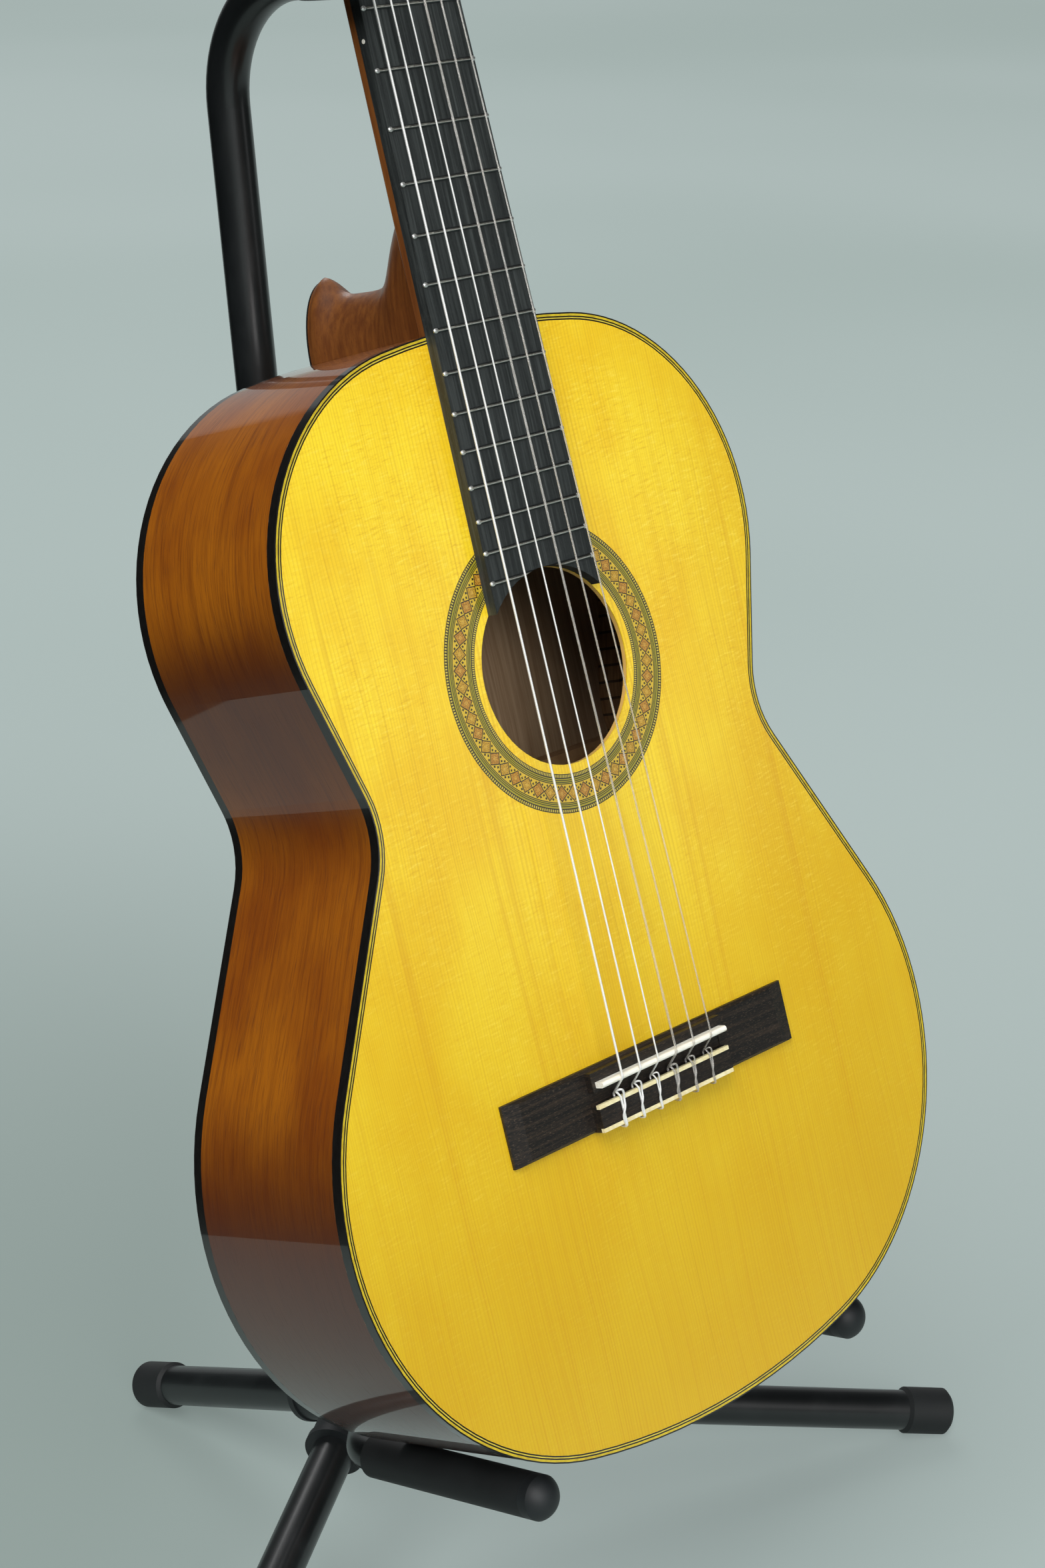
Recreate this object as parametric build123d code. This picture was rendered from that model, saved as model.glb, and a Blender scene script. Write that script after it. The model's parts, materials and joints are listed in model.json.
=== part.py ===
from build123d import *
import math
import os

# Classical guitar resting on a tubular tripod stand.
# Millimetres, +Z up, the soundboard faces -Y and leans back, origin at the middle of the footprint.

# Guitar body outline, seen from the front
body_length = 489.0
upper_bout_width = 280.0
waist_width = 238.0
lower_bout_width = 367.0
waist_from_top = 0.3886 * body_length
waist_roundness = 0.413
top_arc_radius = 410.0
upper_bout_radius = 97.0
lower_bout_radius = 130.0
tail_arc_radius = 366.0

# Guitar body depth and walls
depth_at_neck = 94.0
depth_at_tail = 100.0
soundboard_thickness = 2.6
back_thickness = 2.8
rib_thickness = 2.2
binding_height = 5.0
lining_width = 6.0
lining_height = 14.0

# Soundhole and rosette
soundhole_from_top = 150.0
soundhole_radius = 43.0
rosette_inner_radius = 47.0
rosette_outer_radius = 64.0
rosette_depth = 1.2

# Braces and blocks inside the body
fan_brace_count = 7
fan_brace_length = 150.0
fan_brace_start = 250.0
fan_brace_spacing = 34.0
fan_brace_splay = 4.0
fan_brace_width = 6.0
fan_brace_height = 5.0
harmonic_bar_places = (78.0, 222.0)
harmonic_bar_width = 8.0
harmonic_bar_height = 16.0
back_bar_places = (100.0, 205.0, 340.0)
back_bar_width = 9.0
back_bar_height = 13.0
neck_block_width = 76.0
neck_block_length = 34.0
tail_block_width = 90.0
tail_block_length = 14.0

# Neck, fretboard and nut
scale_length = 650.0
fret_count = 19
body_fret = 12
nut_width = 52.0
board_width_at_body = 60.5
board_thickness = 5.5
board_end_from_top = 121.0
fret_width = 2.0
fret_height = 0.9
fret_inset = 0.4
neck_depth_at_nut = 15.5
neck_depth_at_body = 18.5
neck_edge_height = 3.5
nut_thickness = 5.0
nut_height = 7.9

# Heel, as a stack of pointed cross-sections: depth below the soundboard, width, reach
heel_sections = (
    (3.0, 50.0, 74.0),
    (12.0, 48.0, 67.0),
    (20.0, 45.0, 60.0),
    (30.0, 41.0, 48.0),
    (38.0, 37.0, 35.0),
    (46.0, 34.0, 27.2),
    (56.0, 32.0, 24.6),
    (68.0, 31.0, 25.4),
    (80.0, 31.3, 29.2),
)
heel_cap_width = 32.0
heel_cap_reach = 34.6
heel_cap_thickness = 2.2
heel_side_fullness = 0.40
heel_nose_breadth = 0.66
heel_nose_point = 0.10

# Headstock
head_angle = 14.0
head_length = 184.0
head_width = 72.0
head_thickness = 20.0
head_joint = 20.0
head_crown_width = 46.0
head_crown_rise = 7.0
head_shoulder_drop = 18.0
veneer_thickness = 2.0
slot_width = 17.0
slot_start = 21.0
slot_end = 141.0
centre_rib_width = 15.0

# Tuning machines: worm on the button shaft, wheel on the string roller
roller_first = 56.0
roller_spacing = 35.0
rollers_per_side = 3
roller_drop = 8.0
roller_radius = 5.0
roller_seat = 5.0
shaft_clearance = 0.08
side_gap = 0.3
wheel_teeth = 14
wheel_pitch_radius = 6.0
wheel_tip_radius = 6.6
wheel_root_radius = 5.1
wheel_width = 4.0
wheel_tooth_tip = 0.55
wheel_tooth_root = 1.3
spindle_radius = 2.5
spindle_cap_radius = 3.2
spindle_cap_height = 1.0
worm_pitch_radius = 3.2
worm_tip_radius = 3.85
worm_root_radius = 2.35
worm_turns = 2.5
worm_tip_width = 0.6
worm_root_width = 1.2
thread_sink = 0.3
machine_shaft_radius = 2.0
machine_plate_thickness = 1.5
machine_plate_height = 14.0
machine_plate_margin = 18.0
lug_thickness = 1.6
lug_gap = 0.4
lug_width = 7.6
shaft_head_radius = 3.0
shaft_head_height = 1.4
shaft_stem = 4.0
button_width = 15.0
button_length = 19.0
button_thickness = 8.5
button_round = 3.0

# Bridge and saddle
bridge_from_top = 319.5
bridge_length = 180.0
bridge_width = 27.7
bridge_wing_height = 3.4
bridge_bevel = 1.4
bridge_end_bevel = 9.0
bridge_end_height = 1.4
bridge_centre_length = 84.0
saddle_ridge_width = 10.0
saddle_ridge_height = 7.0
tie_block_width = 12.2
tie_block_height = 8.3
bridge_trough_height = 3.0
saddle_length = 80.0
saddle_thickness = 2.6
saddle_setback = 1.5
saddle_height = 11.8
saddle_slot_depth = 4.0
tie_inlay_size = 1.8
tie_hole_radius = 0.9
tie_hole_height = 5.0

# Strings, bass to treble
string_radii = (0.55, 0.46, 0.38, 0.51, 0.42, 0.36)
string_spacing_at_nut = 8.5
string_spacing_at_saddle = 11.6
string_height_at_nut = 6.8
string_lift = 0.1
string_groove = 0.3
roller_string_places = (19.0, 16.0, 13.0)
nut_bend_radius = 6.0
saddle_bend_radius = 2.0
tie_bend_radius = 1.2
tie_loop_gap = 1.3

# How the guitar stands
guitar_lean = 18.66
joint_ahead_of_hub = 88.5
rest_gap = 0.25

# Stand base
hub_height = 81.0
hub_radius = 20.0
hub_below = 16.0
hub_above = 18.0
socket_radius = 14.3
socket_length = 42.0
socket_rim_radius = 15.3
socket_rim_width = 4.0
leg_radius = 10.7
leg_wall = 1.5
leg_start = 19.0
front_leg_azimuth = 28.5
front_leg_reach = 328.0
rear_leg_reach = 176.0
foot_radius = 12.5
foot_length = 27.0
foot_end = 4.0
foot_flat = 2.0
foot_round = 2.0
leg_screw_radius = 2.5
leg_screw_place = 31.0

# Stand mast
mast_lean = 6.22
mast_lower_radius = 12.5
mast_upper_radius = 9.8
mast_wall = 1.5
mast_slide_gap = 0.1
mast_seat = 4.0
mast_lower_length = 290.0
mast_overlap = 105.0
mast_travel = 95.0
mast_bend_radius = 55.0
collar_radius = 17.0
collar_length = 34.0
collar_cap = 6.0
collar_boss_radius = 9.0
collar_boss_length = 24.0
clamp_screw_radius = 4.0
knob_radius = 17.0
knob_length = 15.0
knob_gap = 4.0
knob_lobes = 6
knob_scallop = 5.0

# Neck yoke
yoke_up_neck = 155.0
yoke_rod_radius = 5.0
yoke_sleeve_radius = 8.5
yoke_half_gap = 41.0
yoke_prong = 62.0
yoke_bend_radius = 24.0
yoke_stem_radius = 7.0

# Cradle fork under the body
cradle_up_mast = 36.5
fork_slope = 14.5
fork_half_gap = 104.0
fork_reach = 237.0
fork_bend_radius = 24.0
fork_radius = 8.0
fork_wall = 1.5
fork_sleeve_radius = 10.0
fork_cap_length = 5.0
fork_dome = 6.5
bracket_wall = 4.0
bracket_height = 28.0
bracket_width = 30.0

far = 2000.0


def block(x, y, z):
    """Upright block between three pairs of limits."""
    size = Box(x[1] - x[0], y[1] - y[0], z[1] - z[0])
    return Pos((x[0] + x[1]) / 2, (y[0] + y[1]) / 2, (z[0] + z[1]) / 2) * size


def rod(start, end, radius):
    """Round bar from one point to another."""
    axis = Vector(end) - Vector(start)
    return Part() + Solid.make_cylinder(radius, axis.length, Plane(Vector(start), z_dir=axis))


def pipe(start, end, outer, inner):
    """Round tube from one point to another."""
    return rod(start, end, outer) - rod(start, end, inner)


def swept(path, radius):
    """Round bar along a path of straight runs and arcs."""
    return sweep(Plane(path @ 0, z_dir=path % 0) * Circle(radius), path=path)


def mirrored(point):
    """The same point on the other side of the guitar."""
    return Vector(-point.X, point.Y, point.Z)


# Body outline

def inner_tangent(first, first_radius, second, second_radius, turn):
    """Ends of the straight line that touches two circles and crosses between them."""
    between = second - first
    along = between.normalized()
    share = (first_radius + second_radius) / between.length
    across = Vector(-along.Y, along.X) * turn
    normal = along * share + across * math.sqrt(1 - share**2)
    return first + normal * first_radius, second - normal * second_radius


def waist_room(bout_width, radius, centre_y):
    """Largest waist arc that still leaves a straight flank to a bout arc."""
    inward = (bout_width - waist_width) / 2
    apart = centre_y + waist_from_top
    return ((radius - inward) ** 2 + apart**2 - radius**2) / (2 * inward)


def bout_offset(end_radius, radius, bout_width):
    """Distance along the body between the centres of an end arc and of the bout arc that touches it."""
    return math.sqrt((end_radius - radius) ** 2 - (bout_width / 2 - radius) ** 2)


upper_centre_y = bout_offset(top_arc_radius, upper_bout_radius, upper_bout_width) - top_arc_radius
tail_centre_y = tail_arc_radius - body_length
lower_centre_y = tail_centre_y - bout_offset(tail_arc_radius, lower_bout_radius, lower_bout_width)
waist_radius = waist_roundness * min(
    waist_room(upper_bout_width, upper_bout_radius, upper_centre_y),
    waist_room(lower_bout_width, lower_bout_radius, lower_centre_y),
)


def body_outline(inset):
    """Guitar outline drawn in by inset: arcs at the ends, bouts and waist, joined by straight flanks."""
    half_upper = upper_bout_width / 2 - inset
    half_waist = waist_width / 2 - inset
    half_lower = lower_bout_width / 2 - inset
    upper_radius = upper_bout_radius - inset
    hollow_radius = waist_radius + inset
    lower_radius = lower_bout_radius - inset
    top = Vector(0, -top_arc_radius)
    upper = Vector(half_upper - upper_radius, upper_centre_y)
    tail = Vector(0, tail_centre_y)
    lower = Vector(half_lower - lower_radius, lower_centre_y)
    waist = Vector(half_waist + hollow_radius, -waist_from_top)
    shoulder = upper + (upper - top).normalized() * upper_radius
    corner = lower + (lower - tail).normalized() * lower_radius
    high_flank = inner_tangent(upper, upper_radius, waist, hollow_radius, 1)
    low_flank = inner_tangent(lower, lower_radius, waist, hollow_radius, -1)
    right_side = [
        Edge.make_three_point_arc(shoulder, Vector(half_upper, upper.Y), high_flank[0]),
        Edge.make_line(high_flank[0], high_flank[1]),
        Edge.make_three_point_arc(high_flank[1], Vector(half_waist, waist.Y), low_flank[1]),
        Edge.make_line(low_flank[1], low_flank[0]),
        Edge.make_three_point_arc(low_flank[0], Vector(half_lower, lower.Y), corner),
    ]
    left_side = [edge.mirror(Plane.YZ) for edge in right_side]
    ends = [
        Edge.make_three_point_arc(mirrored(shoulder), Vector(0, -inset), shoulder),
        Edge.make_three_point_arc(corner, Vector(0, inset - body_length), mirrored(corner)),
    ]
    return Face(Wire(right_side + left_side + ends))


def lower_bout_rest(across, clear):
    """Height, along the body, of a bar that touches the lower bout at a given distance off centre."""
    offset = lower_bout_width / 2 - lower_bout_radius
    return lower_centre_y - math.sqrt((lower_bout_radius + clear) ** 2 - (across - offset) ** 2)


def body_prism(inset, low, high):
    """The outline as an upright block between two depths."""
    return extrude(Pos(0, 0, low) * body_outline(inset), amount=high - low, dir=(0, 0, 1))


def back_layer(rise, thickness):
    """Layer that follows the slope of the back, starting a little above it."""
    slope = (depth_at_tail - depth_at_neck) / body_length
    plane = Plane((0, 0, rise - depth_at_neck), x_dir=(1, 0, 0), z_dir=(0, -slope, 1))
    return plane * Pos(0, 0, thickness / 2) * Box(far, far, thickness)


def body_ring(outer_inset, inner_inset, low, high):
    """Wall that follows the outline between two insets."""
    return body_prism(outer_inset, low, high) - body_prism(inner_inset, low, high)


# Guitar pieces, in the guitar's own frame: x to the treble side, y up the neck, z out of the soundboard

below = -2 * depth_at_tail
soundhole = Pos(0, -soundhole_from_top, 0) * Cylinder(soundhole_radius, far)
rosette_band = Cylinder(rosette_outer_radius, rosette_depth) - Cylinder(rosette_inner_radius, rosette_depth)
inner_inset = rib_thickness + lining_width


def board_width(y):
    """Fretboard width at a place along the neck."""
    taper = (board_width_at_body - nut_width) / nut_y
    return board_width_at_body - taper * y


def fret_y(number):
    """Place of a fret, measured up the neck from the body joint."""
    return scale_length * (2 ** (-number / 12) - 2 ** (-body_fret / 12))


nut_y = fret_y(0)
saddle_y = nut_y - scale_length - saddle_setback
bridge_y = -bridge_from_top
head_start = nut_y + nut_thickness


def make_soundbox():
    """Soundboard, ribs, back, bindings, linings, blocks, braces and rosette."""
    pieces = {}
    rosette = Pos(0, -soundhole_from_top, -rosette_depth / 2) * rosette_band
    top = body_prism(rib_thickness, -soundboard_thickness, 0)
    pieces["soundboard"] = top - soundhole - rosette
    pieces["rosette"] = rosette
    pieces["top_binding"] = body_ring(0, rib_thickness, -binding_height, 0)
    ribs = body_ring(0, rib_thickness, below, -binding_height) & back_layer(binding_height, far)
    pieces["bass_rib"] = ribs & block((-far, 0), (-far, far), (below, 0))
    pieces["treble_rib"] = ribs & block((0, far), (-far, far), (below, 0))
    pieces["back_plate"] = body_prism(rib_thickness, below, 0) & back_layer(0, back_thickness)
    pieces["back_binding"] = body_ring(0, rib_thickness, below, 0) & back_layer(0, binding_height)
    room = body_prism(rib_thickness, below, -soundboard_thickness) & back_layer(back_thickness, far)
    half_block = neck_block_width / 2
    half_tail = tail_block_width / 2
    pieces["neck_block"] = room & block((-half_block, half_block), (-neck_block_length, far), (below, 0))
    tail_limit = tail_block_length - body_length
    pieces["tail_block"] = room & block((-half_tail, half_tail), (-far, tail_limit), (below, 0))
    blocks = pieces["neck_block"] + pieces["tail_block"]
    lining = body_ring(rib_thickness, inner_inset, below, -soundboard_thickness) - blocks
    lining_low = -soundboard_thickness - lining_height
    pieces["top_lining"] = lining & block((-far, far), (-far, far), (lining_low, 0))
    pieces["back_lining"] = lining & back_layer(back_thickness, lining_height)
    return pieces


def make_braces():
    """Fan braces and harmonic bars under the soundboard, cross bars on the back."""
    pieces = {}
    open_room = body_prism(inner_inset, below, -soundboard_thickness)
    fan = Part()
    for place in range(fan_brace_count):
        step = place - (fan_brace_count - 1) / 2
        brace = Box(fan_brace_width, fan_brace_length, fan_brace_height)
        brace = chamfer(brace.faces().sort_by(Axis.Z)[0].edges().filter_by(Axis.Y), fan_brace_width / 4)
        centre = Pos(
            step * fan_brace_spacing,
            -fan_brace_start - fan_brace_length / 2,
            -soundboard_thickness - fan_brace_height / 2,
        )
        fan += centre * Rot(0, 0, step * fan_brace_splay) * brace
    pieces["fan_braces"] = fan
    bars = Part()
    for place in harmonic_bar_places:
        width = (-place - harmonic_bar_width / 2, -place + harmonic_bar_width / 2)
        height = (-soundboard_thickness - harmonic_bar_height, -soundboard_thickness)
        bars += open_room & block((-far, far), width, height)
    pieces["harmonic_bars"] = bars
    back_bars = Part()
    for place in back_bar_places:
        width = (-place - back_bar_width / 2, -place + back_bar_width / 2)
        back_bars += open_room & block((-far, far), width, (below, 0)) & back_layer(back_thickness, back_bar_height)
    pieces["back_braces"] = back_bars
    return pieces


def neck_section(y):
    """Flat-topped, round-backed section of the neck, as wide as the fretboard above it."""
    half = board_width(y) / 2
    depth = neck_depth_at_body + (neck_depth_at_nut - neck_depth_at_body) * y / nut_y
    top_left = Vector(-half, y, 0)
    top_right = Vector(half, y, 0)
    low_left = Vector(-half, y, -neck_edge_height)
    low_right = Vector(half, y, -neck_edge_height)
    return Face(Wire([
        Edge.make_line(top_left, top_right),
        Edge.make_line(top_right, low_right),
        Edge.make_three_point_arc(low_right, Vector(0, y, -depth), low_left),
        Edge.make_line(low_left, top_left),
    ]))


def heel_section(depth, width, reach):
    """Pointed arch across the heel, blunter towards the neck, with its square end inside the body."""
    half = width / 2
    back = -rib_thickness
    span = reach - back
    side_y = back + heel_side_fullness * span
    nose_y = back + (1 - heel_nose_point * depth / depth_at_neck) * span
    nose_x = heel_nose_breadth * half
    tip = Vector(0, reach, -depth)
    right = Vector(half, back, -depth)
    left = Vector(-half, back, -depth)
    return Face(Wire([
        Edge.make_line(left, right),
        Edge.make_bezier(right, Vector(half, side_y, -depth), Vector(nose_x, nose_y, -depth), tip),
        Edge.make_bezier(tip, Vector(-nose_x, nose_y, -depth), Vector(-half, side_y, -depth), left),
    ]))


head_frame = Pos(0, head_start, 0) * Rot(-head_angle, 0, 0)


def head_section():
    """Square section where the headstock is joined to the neck."""
    half = head_width / 2
    corners = [(-half, 0), (half, 0), (half, -head_thickness), (-half, -head_thickness)]
    points = [Vector(x, head_joint, z) for x, z in corners]
    edges = [Edge.make_line(points[i], points[(i + 1) % 4]) for i in range(4)]
    return head_frame * Face(Wire(edges))


def head_outline(start):
    """Headstock face from a place above the nut up to its arched crown."""
    half = head_width / 2
    start_half = half if start >= head_joint else board_width(head_start) / 2
    crown = head_crown_width / 2
    shoulder = head_length - head_shoulder_drop
    crown_base = head_length - head_crown_rise
    scoop = Vector((half + crown) / 2 - head_crown_rise / 2, (shoulder + crown_base) / 2 - head_crown_rise / 3)
    right_side = [
        Edge.make_line(Vector(half, head_joint), Vector(half, shoulder)),
        Edge.make_three_point_arc(Vector(half, shoulder), scoop, Vector(crown, crown_base)),
    ]
    if start < head_joint:
        right_side.append(Edge.make_line(Vector(start_half, start), Vector(half, head_joint)))
    left_side = [edge.mirror(Plane.YZ) for edge in right_side]
    ends = [
        Edge.make_line(Vector(-start_half, start), Vector(start_half, start)),
        Edge.make_three_point_arc(
            Vector(crown, crown_base), Vector(0, head_length), Vector(-crown, crown_base)
        ),
    ]
    return Face(Wire(right_side + left_side + ends))


def head_slots():
    """The two open slots that the strings drop into."""
    length = slot_end - slot_start
    centre = centre_rib_width / 2 + slot_width / 2
    slot = extrude(SlotOverall(length, slot_width, rotation=90), amount=far, both=True)
    place = (slot_start + slot_end) / 2
    return Pos(centre, place, 0) * slot + Pos(-centre, place, 0) * slot


def roller_y(index):
    """Place of a roller, measured up the headstock from the nut."""
    return roller_first + roller_spacing * index


def make_neck():
    """Neck with heel, heel cap, headstock, veneer, fretboard, frets and nut."""
    pieces = {}
    shaft = loft([neck_section(-rib_thickness), neck_section(nut_y)])
    shaft += loft([neck_section(nut_y), neck_section(head_start)])
    throat = loft([neck_section(head_start), head_section()])
    cap_depth = depth_at_neck - heel_cap_thickness
    cap_section = heel_section(cap_depth, heel_cap_width, heel_cap_reach)
    sections = [heel_section(*values) for values in heel_sections] + [cap_section]
    heel = loft(sections)
    body_space = body_prism(0, below, far)
    pieces["neck"] = shaft + heel + throat - body_space
    cap = extrude(cap_section, amount=heel_cap_thickness, dir=(0, 0, -1))
    pieces["heel_cap"] = cap - body_space
    slots = head_slots()
    head = extrude(Pos(0, 0, -head_thickness) * head_outline(head_joint), amount=head_thickness, dir=(0, 0, 1))
    head -= slots
    bore = Cylinder(roller_radius + shaft_clearance, far / 2, rotation=(0, 90, 0))
    seat = centre_rib_width / 2 - roller_seat
    for index in range(rollers_per_side):
        for side in (-1, 1):
            head -= Pos(side * (seat + far / 4), roller_y(index), -roller_drop) * bore
    pieces["headstock"] = head_frame * head
    veneer = extrude(head_outline(0), amount=veneer_thickness, dir=(0, 0, 1)) - slots
    front = block((-far, far), (head_start, far), (-far, far))
    pieces["head_veneer"] = (head_frame * veneer) & front
    half_nut = nut_width / 2
    half_end = board_width(-board_end_from_top) / 2
    board = Polyline(
        (-half_nut, nut_y), (half_nut, nut_y), (half_end, -board_end_from_top), (-half_end, -board_end_from_top),
        close=True,
    )
    pieces["fretboard"] = extrude(make_face(board), amount=board_thickness, dir=(0, 0, 1)) - soundhole
    frets = Part()
    for number in range(1, fret_count + 1):
        y = fret_y(number)
        half = board_width(y) / 2 - fret_inset
        left = Vector(-half, y - fret_width / 2, board_thickness)
        right = Vector(-half, y + fret_width / 2, board_thickness)
        crown = Vector(-half, y, board_thickness + fret_height)
        wire = Face(Wire([Edge.make_line(left, right), Edge.make_three_point_arc(right, crown, left)]))
        frets += extrude(wire, amount=2 * half, dir=(1, 0, 0))
    pieces["frets"] = frets - soundhole
    nut = block((-half_nut, half_nut), (nut_y, head_start), (0, nut_height))
    nut = chamfer(nut.edges().filter_by(Axis.X).group_by(Axis.Z)[-1].sort_by(Axis.Y)[-1:], nut_thickness / 3)
    for index, radius in enumerate(string_radii):
        x = string_x(index, string_spacing_at_nut)
        half = radius + string_groove / 2
        nut -= block((x - half, x + half), (nut_y - far, nut_y + far), (string_height_at_nut, far))
    pieces["nut"] = nut
    return pieces


def string_x(index, spacing):
    """Sideways place of a string, bass strings on the left."""
    return (index - (len(string_radii) - 1) / 2) * spacing


def make_bridge():
    """Bridge with its saddle and the strips that edge the tie block."""
    pieces = {}
    back = bridge_y - bridge_width
    half = bridge_length / 2
    half_centre = bridge_centre_length / 2
    ridge_front = bridge_y - bridge_bevel
    ridge_back = bridge_y - saddle_ridge_width
    tie_front = back + tie_block_width
    profile = Polyline(
        (bridge_y, 0), (bridge_y, bridge_wing_height - bridge_bevel),
        (ridge_front, bridge_wing_height), (back + bridge_bevel, bridge_wing_height),
        (back, bridge_wing_height - bridge_bevel), (back, 0), close=True,
    )
    wing_plane = Plane(origin=(-half, 0, 0), x_dir=(0, 1, 0), z_dir=(1, 0, 0))
    bridge = extrude(wing_plane * make_face(profile), amount=bridge_length, dir=(1, 0, 0))
    fall = math.degrees(math.atan2(bridge_wing_height - bridge_end_height, bridge_end_bevel))
    for side in (-1, 1):
        cutter = Pos(side * half, 0, bridge_end_height) * Rot(0, side * fall, 0) * Pos(0, 0, far / 2)
        bridge -= cutter * Box(2 * bridge_end_bevel, far, far)
    bridge += block((-half_centre, half_centre), (ridge_back, ridge_front), (0, saddle_ridge_height))
    bridge += block((-half_centre, half_centre), (back, tie_front), (0, tie_block_height))
    bridge -= block((-half_centre, half_centre), (tie_front, ridge_back), (bridge_trough_height, far))
    half_saddle = saddle_length / 2
    saddle_front = saddle_y + saddle_thickness / 2
    saddle_low = saddle_ridge_height - saddle_slot_depth
    saddle_limits = ((-half_saddle, half_saddle), (saddle_front - saddle_thickness, saddle_front))
    bridge -= block(*saddle_limits, (saddle_low, far))
    saddle = block(*saddle_limits, (saddle_low, saddle_height))
    crown_edges = saddle.edges().filter_by(Axis.X).group_by(Axis.Z)[-1]
    pieces["saddle"] = fillet(crown_edges, saddle_thickness * 0.45)
    inlay_low = tie_block_height - tie_inlay_size
    strips = Part()
    for start in (back, tie_front - tie_inlay_size):
        strips += block((-half_centre, half_centre), (start, start + tie_inlay_size), (inlay_low, tie_block_height))
    bridge -= strips
    pieces["tie_block_inlays"] = strips
    for index in range(len(string_radii)):
        x = string_x(index, string_spacing_at_saddle)
        bridge -= rod((x, back - far, tie_hole_height), (x, tie_front + tie_hole_height, tie_hole_height), tie_hole_radius)
    pieces["bridge"] = bridge
    return pieces


def make_string(index):
    """One string from its roller over the nut and saddle, through the tie block and back over it."""
    radius = string_radii[index]
    side = -1 if index < rollers_per_side else 1
    order = index if side < 0 else len(string_radii) - 1 - index
    roller_top = roller_radius - roller_drop + side_gap + radius
    on_roller = head_frame * Pos(side * roller_string_places[order], roller_y(order), roller_top)
    x_nut = string_x(index, string_spacing_at_nut)
    x_saddle = string_x(index, string_spacing_at_saddle)
    back = bridge_y - bridge_width
    tie_front = back + tie_block_width
    behind = back - tie_loop_gap
    over = tie_block_height + radius + string_lift
    points = [
        on_roller.position,
        Vector(x_nut, nut_y + nut_thickness * 0.8, string_height_at_nut + radius + string_lift),
        Vector(x_saddle, saddle_y, saddle_height + radius + 5 * string_lift),
        Vector(x_saddle, tie_front + tie_loop_gap, tie_hole_height),
        Vector(x_saddle, behind, tie_hole_height),
        Vector(x_saddle, behind, over),
        Vector(x_saddle, tie_front, over),
    ]
    bends = [nut_bend_radius, saddle_bend_radius, tie_bend_radius, tie_bend_radius, tie_bend_radius]
    return swept(FilletPolyline(*points, radius=bends), radius)


# Tuning machines, in the headstock's frame

wheel_x = head_width / 2 + machine_plate_thickness + side_gap + worm_tip_radius
worm_offset = wheel_pitch_radius + worm_pitch_radius
worm_pitch = 2 * math.pi * wheel_pitch_radius / wheel_teeth
worm_length = worm_turns * worm_pitch
lug_start = worm_length / 2 + worm_root_width / 2 + lug_gap


def wheel_outline():
    """Toothed rim of the worm wheel, with a tooth space facing the worm."""
    points = []
    for tooth in range(wheel_teeth):
        middle = math.pi / 2 + (tooth + 0.5) * 2 * math.pi / wheel_teeth
        for radius, offset in (
            (wheel_root_radius, -wheel_tooth_root / 2),
            (wheel_tip_radius, -wheel_tooth_tip / 2),
            (wheel_tip_radius, wheel_tooth_tip / 2),
            (wheel_root_radius, wheel_tooth_root / 2),
        ):
            angle = middle + offset / radius
            points.append((radius * math.cos(angle), radius * math.sin(angle)))
    return make_face(Polyline(*points, close=True))


def worm_thread():
    """Screw thread swept along a helix round the root, so that at mid-length it fills a tooth space."""
    path = Helix(worm_pitch, worm_length, worm_root_radius)
    start = path @ 0
    section = Plane(start, x_dir=(start.X, start.Y, 0), z_dir=path % 0)
    depth = worm_tip_radius - worm_root_radius
    half_tip = worm_tip_width / 2
    half_root = worm_root_width / 2
    profile = Polyline(
        (-thread_sink, -half_root), (0, -half_root), (depth, -half_tip),
        (depth, half_tip), (0, half_root), (-thread_sink, half_root), close=True,
    )
    thread = sweep(section * make_face(profile), path=path, is_frenet=True)
    return Pos(0, 0, -worm_length / 2) * Rot(0, 0, -90 - 180 * worm_turns) * thread


def machine_shaft():
    """Button shaft: worm between two journals, a head in front and the button behind."""
    worm_end = worm_length / 2 + worm_root_width / 2
    shaft = rod((0, 0, -worm_end), (0, 0, worm_end), worm_root_radius) + worm_thread()
    lug_end = lug_start + lug_thickness
    front = lug_end + side_gap
    shaft += rod((0, 0, worm_end), (0, 0, front), machine_shaft_radius)
    shaft += rod((0, 0, front), (0, 0, front + shaft_head_height), shaft_head_radius)
    button_top = lug_end + shaft_stem
    shaft += rod((0, 0, -worm_end), (0, 0, -button_top - button_length / 2), machine_shaft_radius)
    button = extrude(Ellipse(button_width / 2, button_length / 2), amount=button_thickness / 2, both=True)
    button = fillet(button.edges(), button_round)
    shaft += Pos(0, 0, -button_top - button_length / 2) * Rot(90, 0, 0) * button
    return shaft


def roller_and_wheel():
    """String roller with its worm wheel outside the plate, along +x from the centre rib."""
    start = centre_rib_width / 2 - roller_seat + side_gap
    inner_end = head_width / 2 - side_gap
    wheel_end = wheel_x + wheel_width / 2
    roller = rod((start, 0, 0), (inner_end, 0, 0), roller_radius)
    roller += rod((inner_end, 0, 0), (wheel_end, 0, 0), spindle_radius)
    wheel_plane = Plane(origin=(wheel_end - wheel_width, 0, 0), x_dir=(0, 1, 0), z_dir=(1, 0, 0))
    turned = wheel_plane * Rot(0, 0, -90) * wheel_outline()
    roller += extrude(turned, amount=wheel_width, dir=(1, 0, 0))
    roller += rod((wheel_end, 0, 0), (wheel_end + spindle_cap_height, 0, 0), spindle_cap_radius)
    return roller


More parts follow.
